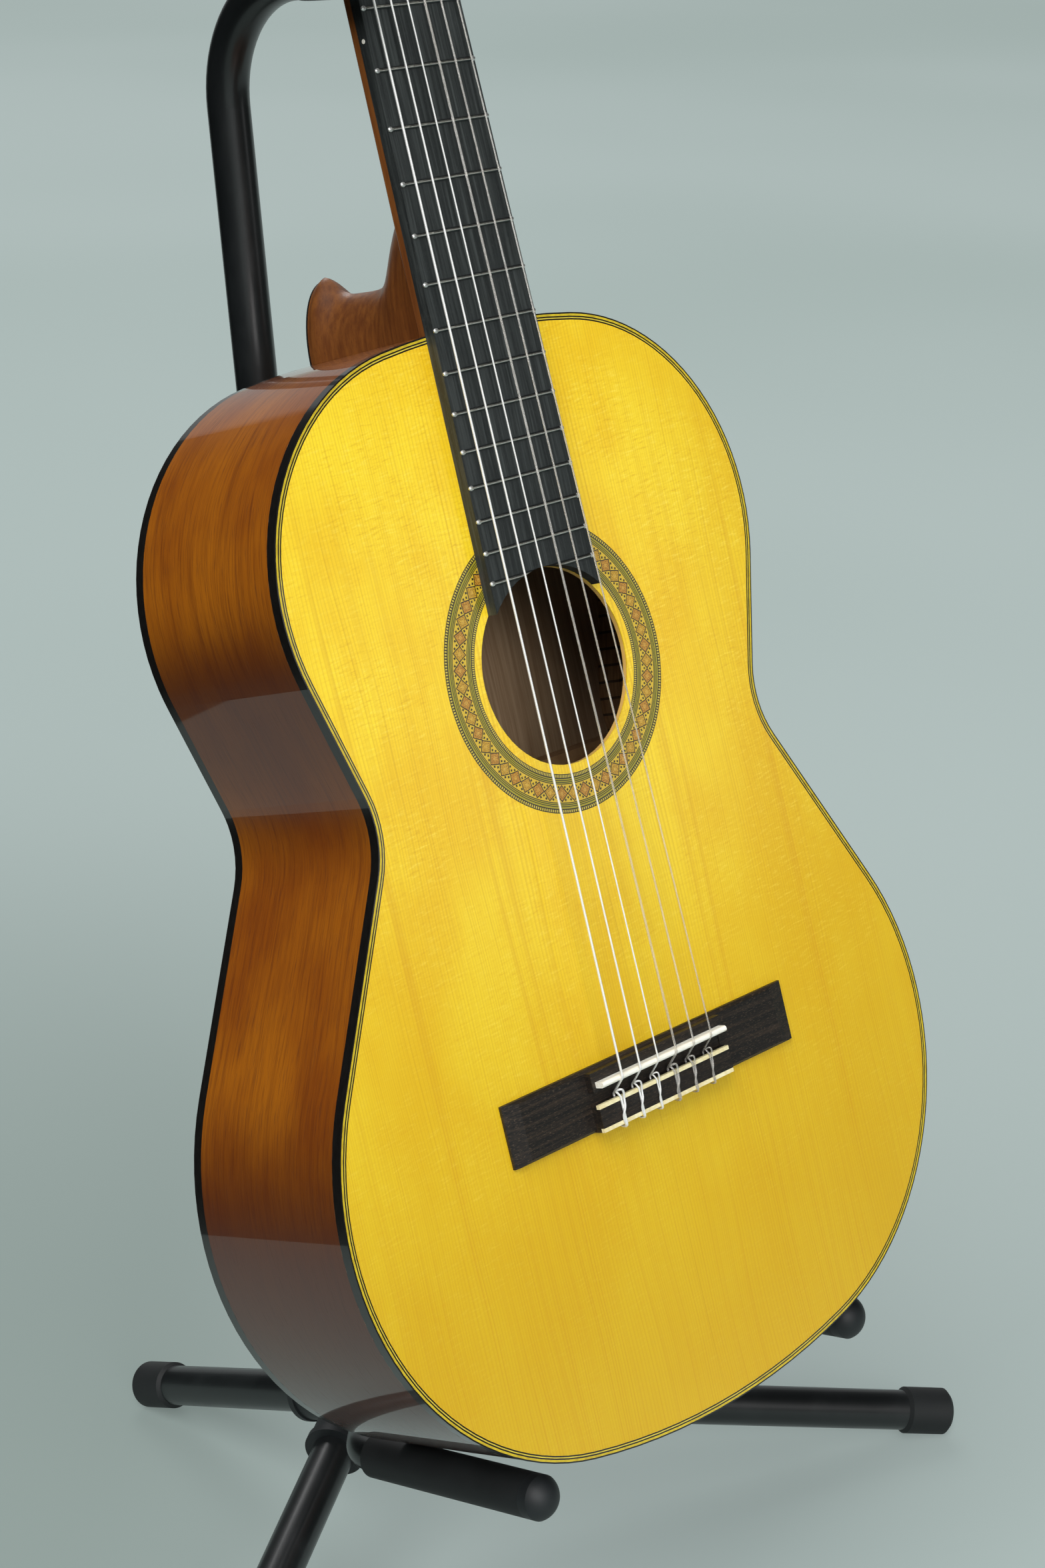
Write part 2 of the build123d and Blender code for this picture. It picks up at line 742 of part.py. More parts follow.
def machine_plate():
    """Side plate with a pair of lugs for each worm shaft, on the +x side."""
    inner = head_width / 2
    outer = inner + machine_plate_thickness
    low = roller_y(0) - machine_plate_margin
    high = roller_y(rollers_per_side - 1) + machine_plate_margin
    middle = -roller_drop
    half_height = machine_plate_height / 2
    plate = block((inner, outer), (low, high), (middle - half_height, middle + half_height))
    plate = fillet(plate.edges().filter_by(Axis.X), machine_plate_height / 4)
    reach = wheel_x + lug_width / 2
    for index in range(rollers_per_side):
        y = roller_y(index)
        worm_y = y + worm_offset
        plate -= rod((inner, y, middle), (outer, y, middle), spindle_radius + shaft_clearance)
        for side in (-1, 1):
            near = middle + side * lug_start
            away = near + side * lug_thickness
            across = (worm_y - lug_width / 2, worm_y + lug_width / 2)
            lug = block((inner + machine_plate_thickness / 2, reach), across, (min(near, away), max(near, away)))
            hole = rod((wheel_x, worm_y, near - side), (wheel_x, worm_y, away + side),
                       machine_shaft_radius + shaft_clearance)
            plate += lug - hole
    return plate


def make_machines():
    """Both machine plates, and a shaft and a roller for each string."""
    pieces = {}
    plate = machine_plate()
    pieces["tuner_plate_treble"] = head_frame * plate
    pieces["tuner_plate_bass"] = head_frame * plate.mirror(Plane.YZ)
    shaft = machine_shaft()
    roller = roller_and_wheel()
    for side, label in ((-1, "bass"), (1, "treble")):
        turned = roller if side > 0 else roller.mirror(Plane.YZ)
        for index in range(rollers_per_side):
            y = roller_y(index)
            shaft_place = head_frame * Pos(side * wheel_x, y + worm_offset, -roller_drop)
            pieces[f"tuner_shaft_{label}_{index + 1}"] = shaft_place * shaft
            pieces[f"tuner_roller_{label}_{index + 1}"] = head_frame * Pos(0, y, -roller_drop) * turned
    return pieces


# Stand, in its own frame: the hub's foot on the floor is the origin

hub = Vector(0, 0, hub_height)
lean = math.radians(mast_lean)
mast_up = Vector(0, math.sin(lean), math.cos(lean))
mast_forward = Vector(0, -math.cos(lean), math.sin(lean))
fork_tilt = math.radians(fork_slope)
fork_forward = Vector(0, -math.cos(fork_tilt), math.sin(fork_tilt))
fork_square = Vector(0, math.sin(fork_tilt), math.cos(fork_tilt))
on_mast = hub + mast_up * cradle_up_mast
rest_y = lower_bout_rest(fork_half_gap, fork_sleeve_radius + rest_gap)
guitar_turn = Rot(90 - guitar_lean, 0, 0)
rest_from_joint = (Pos(0, -joint_ahead_of_hub, 0) * guitar_turn * Pos(0, rest_y, -depth_at_tail)).position
joint_height = (on_mast - rest_from_joint).dot(fork_square) / fork_square.Z
guitar_place = Pos(0, -joint_ahead_of_hub, joint_height) * guitar_turn


def guitar_point(x, y, z):
    """A point of the guitar's frame, as it stands."""
    return (guitar_place * Pos(x, y, z)).position


def leg_line(azimuth, reach):
    """End of a leg and its direction, set so that the foot meets the floor."""
    slope = math.atan2(hub_height - foot_radius + foot_flat, reach)
    end_height = foot_radius * math.cos(slope) - foot_flat
    angle = math.radians(azimuth)
    end = Vector(reach * math.cos(angle), reach * math.sin(angle), end_height)
    return end, (end - hub).normalized()


leg_lines = {
    "rear": leg_line(90.0, rear_leg_reach),
    "left": leg_line(180.0 + front_leg_azimuth, front_leg_reach),
    "right": leg_line(-front_leg_azimuth, front_leg_reach),
}


def make_legs():
    """Hub with three sockets, and for each a leg tube, its rubber foot and its lock screw."""
    pieces = {}
    body = rod(hub - mast_up * hub_below, hub + mast_up * hub_above, hub_radius)
    body = chamfer(body.edges(), socket_rim_width / 2)
    bores = rod(hub + mast_up * mast_seat, hub + mast_up * far, mast_lower_radius)
    screws = Part()
    for end, along in leg_lines.values():
        body += rod(hub, hub + along * socket_length, socket_radius)
        body += rod(hub + along * (socket_length - socket_rim_width), hub + along * socket_length, socket_rim_radius)
        bores += rod(hub + along * leg_start, hub + along * far, leg_radius)
        aside = along.cross(Vector(0, 0, 1)).normalized()
        under = aside.cross(along).normalized() * -1
        screw_at = hub + along * leg_screw_place
        screw = rod(screw_at + under * leg_radius, screw_at + under * socket_radius, leg_screw_radius)
        bores += screw
        screws += screw
    pieces["tripod_hub"] = body - bores
    pieces["leg_screws"] = screws
    floor = block((-far, far), (-far, far), (-far, 0))
    for name, (end, along) in leg_lines.items():
        start = hub + along * leg_start
        tube_end = end - along * foot_end
        pieces[f"{name}_leg_tube"] = pipe(start, tube_end, leg_radius, leg_radius - leg_wall)
        foot = rod(end - along * foot_length, end, foot_radius)
        foot = chamfer(foot.edges(), foot_round)
        foot -= rod(end - along * (foot_length + foot_end), tube_end, leg_radius)
        pieces[f"{name}_foot"] = foot - floor
    return pieces


def make_mast():
    """Lower tube with its clamp collar and knob, and the upper tube with its bend and neck yoke."""
    pieces = {}
    foot = hub + mast_up * mast_seat
    top = foot + mast_up * mast_lower_length
    bore_radius = mast_upper_radius + mast_slide_gap
    knob_back = mast_forward * -1
    screw_at = top - mast_up * (collar_length / 2)
    screw_hole = rod(screw_at, screw_at + knob_back * far, clamp_screw_radius + mast_slide_gap)
    pieces["mast_lower_tube"] = pipe(foot, top, mast_lower_radius, bore_radius) - screw_hole
    collar_low = top - mast_up * (collar_length - collar_cap)
    collar_high = top + mast_up * collar_cap
    collar = rod(collar_low, collar_high, collar_radius)
    collar = chamfer(collar.edges(), bracket_wall / 2)
    collar += rod(screw_at, screw_at + knob_back * collar_boss_length, collar_boss_radius)
    collar -= rod(collar_low, top, mast_lower_radius)
    collar -= rod(top - mast_up, collar_high, bore_radius)
    pieces["height_clamp_collar"] = collar - screw_hole
    knob_start = screw_at + knob_back * (collar_boss_length + knob_gap)
    knob_end = knob_start + knob_back * knob_length
    knob = chamfer(rod(knob_start, knob_end, knob_radius).edges(), foot_round)
    knob_frame = Plane(knob_start, x_dir=(1, 0, 0), z_dir=knob_back)
    for lobe in range(knob_lobes):
        angle = 2 * math.pi * lobe / knob_lobes
        centre = knob_frame.from_local_coords(
            Vector(knob_radius * math.cos(angle), knob_radius * math.sin(angle), 0)
        )
        knob -= rod(centre - knob_back * far, centre + knob_back * far, knob_scallop)
    screw_tip = screw_at + knob_back * (mast_upper_radius + side_gap)
    pieces["height_clamp_knob"] = knob + rod(screw_tip, knob_start + knob_back * foot_round, clamp_screw_radius)
    return pieces


neck_depth_at_yoke = neck_depth_at_body + (neck_depth_at_nut - neck_depth_at_body) * yoke_up_neck / nut_y
yoke_base = guitar_point(0, yoke_up_neck, -neck_depth_at_yoke - yoke_sleeve_radius - rest_gap)
mast_top_run = (yoke_base - hub).dot(mast_up)
yoke_run = (yoke_base - hub).dot(mast_forward)
upper_start = mast_seat + mast_lower_length - mast_overlap


def make_upper_mast():
    """Upper tube bent forward over the neck, with the sleeved yoke on its end."""
    pieces = {}
    corner = hub + mast_up * mast_top_run
    tube_end = yoke_base - mast_forward * yoke_sleeve_radius
    path = FilletPolyline(hub + mast_up * upper_start, corner, tube_end, radius=mast_bend_radius)
    tube_bore = mast_upper_radius - mast_wall
    pieces["mast_upper_tube"] = swept(path, mast_upper_radius) - swept(path, tube_bore)
    side = Vector(yoke_half_gap, 0, 0)
    reach = mast_forward * yoke_prong
    prongs = FilletPolyline(
        yoke_base - side + reach, yoke_base - side, yoke_base + side, yoke_base + side + reach,
        radius=yoke_bend_radius,
    )
    stem = rod(tube_end - mast_forward * mast_bend_radius / 2, yoke_base, yoke_stem_radius)
    plug = rod(tube_end - mast_forward * mast_bend_radius / 2, tube_end, tube_bore)
    bar = swept(prongs, yoke_rod_radius)
    pieces["neck_yoke"] = bar + stem + plug
    pieces["yoke_sleeve"] = swept(prongs, yoke_sleeve_radius) - bar - stem
    caps = Part()
    for sign in (-1, 1):
        tip = yoke_base + side * sign + reach
        ball = Pos(tip.X, tip.Y, tip.Z) * Sphere(yoke_sleeve_radius)
        caps += ball & rod(tip, tip + mast_forward * far, far)
    pieces["yoke_caps"] = caps
    return pieces


def make_cradle():
    """U-shaped fork under the body, with its bracket on the mast, sleeves and end caps."""
    pieces = {}
    apex = on_mast + fork_forward * ((mast_lower_radius + fork_radius) / fork_forward.dot(mast_forward))
    side = Vector(fork_half_gap, 0, 0)
    corner = apex + fork_forward * fork_half_gap
    tip = on_mast + fork_forward * fork_reach
    path = FilletPolyline(
        tip - side, corner - side, apex, corner + side, tip + side, radius=fork_bend_radius
    )
    bend_length = fork_bend_radius * math.tan(math.pi / 8)
    straight_start = corner + fork_forward * bend_length
    dome_radius = (fork_sleeve_radius**2 + fork_dome**2) / (2 * fork_dome)
    bar = swept(path, fork_radius)
    pieces["cradle_fork"] = bar - swept(path, fork_radius - fork_wall)
    sleeves = Part()
    caps = Part()
    for sign in (-1, 1):
        at = side * sign
        sleeves += pipe(straight_start + at, tip + at, fork_sleeve_radius, fork_radius)
        cap_end = tip + at + fork_forward * fork_cap_length
        caps += rod(tip + at, cap_end, fork_sleeve_radius)
        middle = cap_end + fork_forward * (fork_dome - dome_radius)
        ball = Pos(middle.X, middle.Y, middle.Z) * Sphere(dome_radius)
        caps += ball & rod(cap_end, cap_end + fork_forward * far, far)
    pieces["cradle_sleeves"] = sleeves
    pieces["cradle_caps"] = caps
    low = on_mast - mast_up * bracket_height / 2
    high = on_mast + mast_up * bracket_height / 2
    ring = rod(low, high, mast_lower_radius + bracket_wall)
    bridge_end = mast_lower_radius + fork_radius + bend_length
    arm = Plane(on_mast, x_dir=(1, 0, 0), z_dir=mast_up) * block(
        (-bracket_width / 2, bracket_width / 2), (-bridge_end, 0), (-bracket_height / 2, bracket_height / 2)
    )
    bracket = ring + arm - rod(low - mast_up, high + mast_up, mast_lower_radius)
    pieces["cradle_bracket"] = bracket - bar
    return pieces


# Assembly

def build_all():
    """Every piece by name, standing on the floor with the origin in the middle of the footprint."""
    guitar = {}
    for made in (make_soundbox(), make_braces(), make_neck(), make_bridge(), make_machines()):
        guitar.update(made)
    for label, first in (("bass", 0), ("treble", rollers_per_side)):
        strings = [make_string(first + index) for index in range(rollers_per_side)]
        guitar[f"{label}_strings"] = Part() + strings
    pieces = {name: guitar_place * piece for name, piece in guitar.items()}
    for made in (make_legs(), make_mast(), make_upper_mast(), make_cradle()):
        pieces.update(made)
    box = Compound(children=[Part(piece.wrapped) for piece in pieces.values()]).bounding_box()
    centre = Pos(-(box.min.X + box.max.X) / 2, -(box.min.Y + box.max.Y) / 2, -box.min.Z)
    return {name: centre * piece for name, piece in pieces.items()}, centre


nodes, origin_shift = build_all()
os.makedirs("parts", exist_ok=True)
for name, piece in nodes.items():
    export_step(piece, f"parts/{name}.step")
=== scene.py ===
import json
import math

import bpy
from mathutils import Matrix, Vector


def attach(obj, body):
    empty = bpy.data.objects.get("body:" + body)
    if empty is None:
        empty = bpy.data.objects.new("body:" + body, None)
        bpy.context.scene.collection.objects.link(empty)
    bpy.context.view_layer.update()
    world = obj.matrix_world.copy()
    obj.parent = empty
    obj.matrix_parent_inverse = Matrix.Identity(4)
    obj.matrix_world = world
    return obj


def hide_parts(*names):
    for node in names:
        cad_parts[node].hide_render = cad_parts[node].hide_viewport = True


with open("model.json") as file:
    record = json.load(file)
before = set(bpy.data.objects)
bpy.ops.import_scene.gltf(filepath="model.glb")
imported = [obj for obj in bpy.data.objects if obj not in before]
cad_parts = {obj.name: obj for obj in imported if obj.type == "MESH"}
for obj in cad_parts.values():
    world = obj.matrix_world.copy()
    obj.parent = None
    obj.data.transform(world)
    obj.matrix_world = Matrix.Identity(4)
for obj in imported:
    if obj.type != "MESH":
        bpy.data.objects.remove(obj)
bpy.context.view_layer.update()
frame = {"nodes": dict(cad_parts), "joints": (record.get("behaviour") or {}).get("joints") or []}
nodes = frame["nodes"]

MM = 0.001

# Sizes shared with the solids, in millimetres in the guitar's own frame:
# x to the treble side, y up the neck from the body, z out of the soundboard.
LIFT_POINT_Y = -250.0
SCALE_LENGTH = 650.0
NUT_Y = SCALE_LENGTH / 2
HEAD_START = NUT_Y + 5.0
HEAD_ANGLE = 14.0
HOLE_Y = -150.0
BODY_MID = 235.0
HEEL_CAP_EDGE = -92.9
BOARD_THICKNESS = 5.5
FRET_COUNT = 19
FRET_HEIGHT = 0.9
FRET_INSET = 0.4
BOARD_WIDTH_AT_BODY = 60.5
BOARD_WIDTH_AT_NUT = 52.0
ROLLER_FIRST = 56.0
ROLLER_SPACING = 35.0
ROLLER_DROP = 8.0
ROLLER_RADIUS = 5.0
HEAD_WIDTH = 72.0
PLATE_THICKNESS = 1.5
PLATE_MARGIN = 18.0
STRING_RADII = (0.55, 0.46, 0.38, 0.51, 0.42, 0.36)
STRING_SPACING_AT_SADDLE = 11.6
ROLLER_STRING_PLACES = (19.0, 16.0, 13.0)
BRIDGE_Y = -319.5
BRIDGE_WIDTH = 27.7
TIE_BLOCK_WIDTH = 12.2
TIE_BLOCK_HEIGHT = 8.3
TIE_BACK = BRIDGE_Y - BRIDGE_WIDTH
TIE_FRONT = TIE_BACK + TIE_BLOCK_WIDTH
BUTTON_TOP = -18.6

# Sizes of the small pieces that are drawn here, in millimetres; SCREW_TURN is in radians
PURFLING_MARGIN = 0.65
PURFLING_PROUD = 0.05
PURFLING_DEPTH = 0.3
ROLLER_TURNS = 4.0
ROLLER_GAP = 0.03
SCREW_RADIUS = 1.6
SCREW_HEIGHT = 1.1
SCREW_FROM_END = 4.0
SCREW_DROPS = (-11.2, -4.8)
SCREW_PROUD = 0.25
SCREW_TURN = 0.7
KNOB_RADIUS = 16.2
KNOB_LENGTH = 15.0
KNOB_WINGS = 2
KNOB_WAIST = 0.50
KNOB_RIM = 2.4
KNOB_HOLLOW = 1.4
KNOB_ROUNDING = 1.0
CLAMP_SCREW_RADIUS = 4.0
CLAMP_SCREW_LENGTH = 24.0
CLAMP_SCREW_MIDDLE = -11.0
CLAMP_SCREW_ROUNDING = 0.4
SIDE_DOT_FRETS = (5, 7)
SIDE_DOT_RADIUS = 1.0
SIDE_DOT_LENGTH = 0.5
SIDE_DOT_SINK = 0.18
SIDE_DOT_ROUNDING = 0.08
FRET_END_HALVES = (1.5, 1.15, 0.8)
FRET_END_INSET = 0.9
FRET_END_DROP = 0.66

# In metres: vertices this close are one, and points this close to a plane lie on it
MERGE_DISTANCE = 0.00001
PLANE_TOLERANCE = 0.0001

SMOOTH_ANGLE = math.radians(40)

# The guitar's frame, read from the joint that lifts it off the stand
joints = {joint["name"]: joint for joint in frame["joints"]}
lift = joints["lift_off"]
lean = math.asin(lift["axis"][2])
up_neck = Vector((0, math.sin(lean), math.cos(lean)))
joint_point = Vector(lift["pos_m"]) - up_neck * (LIFT_POINT_Y * MM)
guitar = Matrix.Translation(joint_point) @ Matrix.Rotation(math.pi / 2 - lean, 4, "X")
tilt = Matrix.Rotation(math.radians(-HEAD_ANGLE), 4, "X")
head = guitar @ Matrix.Translation((0, HEAD_START * MM, 0)) @ tilt


def paint(red, green, blue):
    """A colour given as it looks on screen, 0 to 255, in the linear values that shaders use."""
    parts = []
    for value in (red, green, blue):
        value /= 255
        parts.append(value / 12.92 if value <= 0.04045 else ((value + 0.055) / 1.055) ** 2.4)
    return (*parts, 1.0)


BRASS = paint(214, 176, 96)
WORN_BRASS = paint(176, 138, 68)


# Shader maths

class Value:
    """A number that changes over a surface; Python arithmetic on it adds Math nodes."""

    def __init__(self, finish, socket):
        self.finish = finish
        self.socket = socket

    def math(self, operation, *others):
        return self.finish.node("Math", dict(enumerate((self, *others))), operation=operation)

    def __add__(self, other):
        return self.math("ADD", other)

    __radd__ = __add__

    def __sub__(self, other):
        return self.math("SUBTRACT", other)

    def __rsub__(self, other):
        return self.finish.node("Math", {0: other, 1: self}, operation="SUBTRACT")

    def __mul__(self, other):
        return self.math("MULTIPLY", other)

    __rmul__ = __mul__

    def __truediv__(self, other):
        return self.math("DIVIDE", other)

    def __rtruediv__(self, other):
        return self.finish.node("Math", {0: other, 1: self}, operation="DIVIDE")

    def __pow__(self, other):
        return self.math("POWER", other)

    def __mod__(self, other):
        return self.math("FLOORED_MODULO", other)

    def __lt__(self, other):
        return self.math("LESS_THAN", other)

    def __gt__(self, other):
        return self.math("GREATER_THAN", other)

    def __abs__(self):
        return self.math("ABSOLUTE")

    def __and__(self, other):
        return self.math("MINIMUM", other)

    def __or__(self, other):
        return self.math("MAXIMUM", other)

    def sine(self):
        return self.math("SINE")

    def floor(self):
        return self.math("FLOOR")

    def ramp(self, low, high):
        """0 below low, 1 above high and a smooth rise between."""
        return self.finish.node(
            "MapRange", {0: self, 1: low, 2: high, 3: 0.0, 4: 1.0}, interpolation_type="SMOOTHSTEP"
        )


class Finish:
    """A node material on one Principled shader."""

    def __init__(self, name, **surface):
        self.material = bpy.data.materials.new(name)
        self.material.use_nodes = True
        self.tree = self.material.node_tree
        self.shader = self.tree.nodes["Principled BSDF"]
        self.surface(**surface)

    def node(self, kind, inputs=None, out=0, **settings):
        """Any node: its settings, then the values or links of its sockets; gives one output."""
        made = self.tree.nodes.new("ShaderNode" + kind)
        for name, value in settings.items():
            setattr(made, name, value)
        for key, value in (inputs or {}).items():
            self.put(made.inputs[key], value)
        return Value(self, made.outputs[out])

    def put(self, socket, value):
        if isinstance(value, Value):
            self.tree.links.new(value.socket, socket)
        else:
            socket.default_value = value

    def surface(self, **values):
        """Sets the shader's sockets, named with underscores for spaces."""
        for name, value in values.items():
            words = name.split("_")
            title = " ".join(word if word == "IOR" else word.capitalize() for word in words)
            self.put(self.shader.inputs[title], value)

    def place(self, matrix):
        """Object coordinates in another frame, in millimetres, as three numbers."""
        inverse = matrix.inverted()
        coords = self.node("TexCoord", out="Object")
        turned = self.node("Mapping", {
            "Vector": coords,
            "Location": inverse.translation / MM,
            "Rotation": inverse.to_euler(),
            "Scale": (1 / MM, 1 / MM, 1 / MM),
        })
        parts = self.node("SeparateXYZ", {0: turned})
        outs = parts.socket.node.outputs
        return [Value(self, outs[index]) for index in range(3)]

    def facing(self, matrix):
        """The surface's normal in another frame, as three numbers."""
        normal = self.node("TexCoord", out="Normal")
        return [self.dot(normal, axis) for axis in matrix.to_3x3().transposed()]

    def dot(self, first, second):
        """How far one direction runs along another."""
        return self.node("VectorMath", {0: first, 1: second}, out="Value", operation="DOT_PRODUCT")

    def noise(self, x, y, z, detail=3.0, roughness=0.55, seed=0.0):
        """Smooth noise from 0 to 1 at a point given in numbers of noise cells."""
        point = self.node("CombineXYZ", {0: x + seed, 1: y, 2: z})
        return self.node("TexNoise", {
            "Vector": point, "Scale": 1.0, "Detail": detail, "Roughness": roughness,
        })

    def mix(self, share, first, second):
        """Second colour over the first, by share."""
        return self.node("Mix", {0: share, 6: first, 7: second}, out=2, data_type="RGBA")

    def bump(self, height, strength, distance):
        """Relief that only bends the light; the distance is in millimetres."""
        self.surface(Normal=self.node("Bump", {
            "Height": height, "Strength": strength, "Distance": distance * MM,
        }))


# Finishes

def spruce_top():
    """Yellow lacquered spruce, bookmatched: fine rings, cross silk, broad tone changes and painted
    shade towards the tail and the treble side.
    """
    f = Finish("spruce_lacquer", Coat_Weight=0.75, Coat_Roughness=0.20, Roughness=0.42)
    x, y, z = f.place(guitar)
    across = abs(x + 0.35)
    drift = f.noise(across * 0.012, y * 0.004, 0.0, 2.0, seed=3.1)
    ring = across + drift * 14.0
    fine = f.noise(ring * 0.95, y * 0.0035, 0.0, 3.0, 0.6, seed=7.0)
    wide = f.noise(ring * 0.16, y * 0.0025, 0.0, 2.0, 0.5, seed=11.0)
    spacing = 0.52 + 0.22 * f.noise(ring * 0.02, 0.0, 0.0, 1.0, seed=23.0)
    phase = (ring * spacing) % 1.0
    late = phase.ramp(0.45, 0.90) * (1.0 - phase.ramp(0.90, 1.0))
    patch = f.noise(x * 0.02, y * 0.016, 0.0, 2.0, 0.5, seed=27.0).ramp(0.34, 0.58)
    fleck = f.noise(x * 0.13, y * 0.80 - x * 0.06, 0.0, 4.0, 0.68, seed=5.0)
    silk = fleck.ramp(0.50, 0.72) * (0.35 + 0.65 * patch)
    shade = (1.0 - fleck.ramp(0.30, 0.48)) * (0.35 + 0.65 * patch)
    cloud = f.noise(x * 0.014, y * 0.009, 0.0, 3.0, 0.6, seed=17.0).ramp(0.33, 0.68)
    lower = (y * -1.0).ramp(120.0, 470.0)
    tone = f.mix(cloud, paint(238, 192, 14), paint(250, 217, 38))
    # Painted shade: the top is darkened towards the tail, and then towards the treble side
    tone = f.mix(lower * 0.8, tone, paint(200, 160, 3))
    tone = f.mix(x.ramp(30.0, 150.0) * 0.32, tone, paint(200, 158, 3))
    tone = f.mix(silk * (0.50 - 0.42 * lower), tone, paint(255, 231, 92))
    tone = f.mix(shade * (0.46 - 0.26 * lower), tone, paint(212, 156, 8))
    tone = f.mix(fine.ramp(0.45, 0.80) * 0.30, tone, paint(190, 128, 4))
    tone = f.mix(late * (0.08 + 0.24 * fine), tone, paint(184, 122, 4))
    tone = f.mix(wide.ramp(0.56, 0.78) * 0.30, tone, paint(200, 138, 4))
    seam = abs(x) < 0.12
    tone = f.mix(seam * 0.25, tone, paint(150, 92, 4))
    side = z < -0.6
    tone = f.mix(side, tone, paint(222, 176, 96))
    f.surface(Base_Color=tone)
    f.bump(late * 0.5 + fine, 0.10, 0.05)
    return f.material


def mahogany(name, lengthwise):
    """Red-brown lacquered mahogany; the grain runs round the bent sides, or along the flat back.
    The sides carry painted shade in a band above the waist and towards the tail.
    """
    f = Finish(name, Coat_Weight=1.0, Coat_Roughness=0.03, Roughness=0.42)
    x, y, z = f.place(guitar)
    if lengthwise:
        along, across, other = y, abs(x), z * 0.0
    else:
        along, across, other = y, z, x
    wander = f.noise(along * 0.006, across * 0.02, other * 0.006, 2.0, seed=2.0) * 12.0
    lane = across + wander
    streak = f.noise(along * 0.012, lane * 0.40, other * 0.012, 5.0, 0.65, seed=9.0)
    fibre = f.noise(along * 0.05, lane * 1.5, other * 0.05, 3.0, 0.6, seed=15.0)
    cloud = f.noise(along * 0.012, across * 0.016, other * 0.012, 3.0, 0.55, seed=44.0)
    pores = f.noise(along * 0.09, lane * 2.8, other * 0.09, 2.0, 0.5, seed=13.0).ramp(0.58, 0.70)
    tone = f.mix(cloud.ramp(0.30, 0.72), paint(129, 65, 8), paint(161, 93, 13))
    tone = f.mix(streak.ramp(0.44, 0.74) * 0.55, tone, paint(88, 36, 9))
    tone = f.mix(fibre.ramp(0.46, 0.70) * 0.38, tone, paint(84, 35, 9))
    tone = f.mix(pores * 0.40, tone, paint(50, 19, 6))
    if not lengthwise:
        # Painted shade on the sides: a dark band above the waist, and the lower bout darkened
        # towards the tail
        down = y * -1.0
        rib_shade = 0.78 * down.ramp(80.0, 125.0) * (1.0 - down.ramp(150.0, 230.0))
        tone = f.mix(rib_shade + 0.92 * down.ramp(275.0, 360.0), tone, paint(60, 22, 7))
    nx, ny, nz = f.facing(guitar)
    raw = nz > 0.5 if lengthwise else (x * nx + (y + BODY_MID) * ny) < 0.0
    bare = f.mix(streak.ramp(0.3, 0.7), paint(156, 132, 104), paint(126, 101, 75))
    f.surface(
        Base_Color=f.mix(raw, tone, bare), Roughness=0.40 + 0.12 * pores, Coat_Weight=1.0 - raw
    )
    return f.material


def neck_wood():
    """Brown satin neck timber with long grain and short pores."""
    f = Finish("neck_cedar", Coat_Weight=0.25, Coat_Roughness=0.22, Roughness=0.46)
    x, y, z = f.place(guitar)
    sway = f.noise(x * 0.01, y * 0.006, z * 0.01, 2.0, seed=4.0) * 9.0
    lane = x + sway
    depth = z + sway
    streak = f.noise(lane * 0.30, y * 0.012, depth * 0.30, 4.0, 0.6, seed=6.0)
    pores = f.noise(lane * 2.2, y * 0.10, depth * 2.2, 2.0, 0.5, seed=8.0).ramp(0.58, 0.68)
    tone = f.mix(streak.ramp(0.30, 0.70), paint(92, 49, 18), paint(120, 71, 28))
    tone = f.mix(pores * 0.4, tone, paint(62, 28, 12))
    tone = f.mix(z < HEEL_CAP_EDGE, tone, paint(20, 16, 13))
    f.surface(Base_Color=tone)
    f.bump(1.0 - pores, 0.12, 0.06)
    return f.material


def dark_wood(name, along_neck, tint, streak_tint, pore_tint):
    """Near-black oiled timber with fine paler streaks and open pores."""
    f = Finish(name, Roughness=0.50, Coat_Weight=0.0)
    x, y, z = f.place(guitar)
    along, across = (y, x) if along_neck else (x, y)
    sway = f.noise(along * 0.008, across * 0.02, 0.0, 2.0, seed=2.5) * 4.0
    lane = across + sway
    streak = f.noise(along * 0.013, lane * 0.75, z * 0.4, 4.0, 0.65, seed=19.0)
    thread = f.noise(along * 0.03, lane * 3.2, z * 1.5, 2.0, 0.5, seed=29.0)
    pores = f.noise(along * 0.55, lane * 2.9, z * 1.8, 1.0, 0.5, seed=37.0).ramp(0.60, 0.68)
    tone = f.mix(streak.ramp(0.42, 0.78), tint, streak_tint)
    tone = f.mix(thread.ramp(0.5, 0.75) * 0.45, tone, streak_tint)
    tone = f.mix(pores * 0.5, tone, pore_tint)
    f.surface(Base_Color=tone, Roughness=0.42 + 0.18 * streak)
    f.bump(thread * 0.4 + streak - pores * 0.6, 0.22, 0.08)
    return f.material


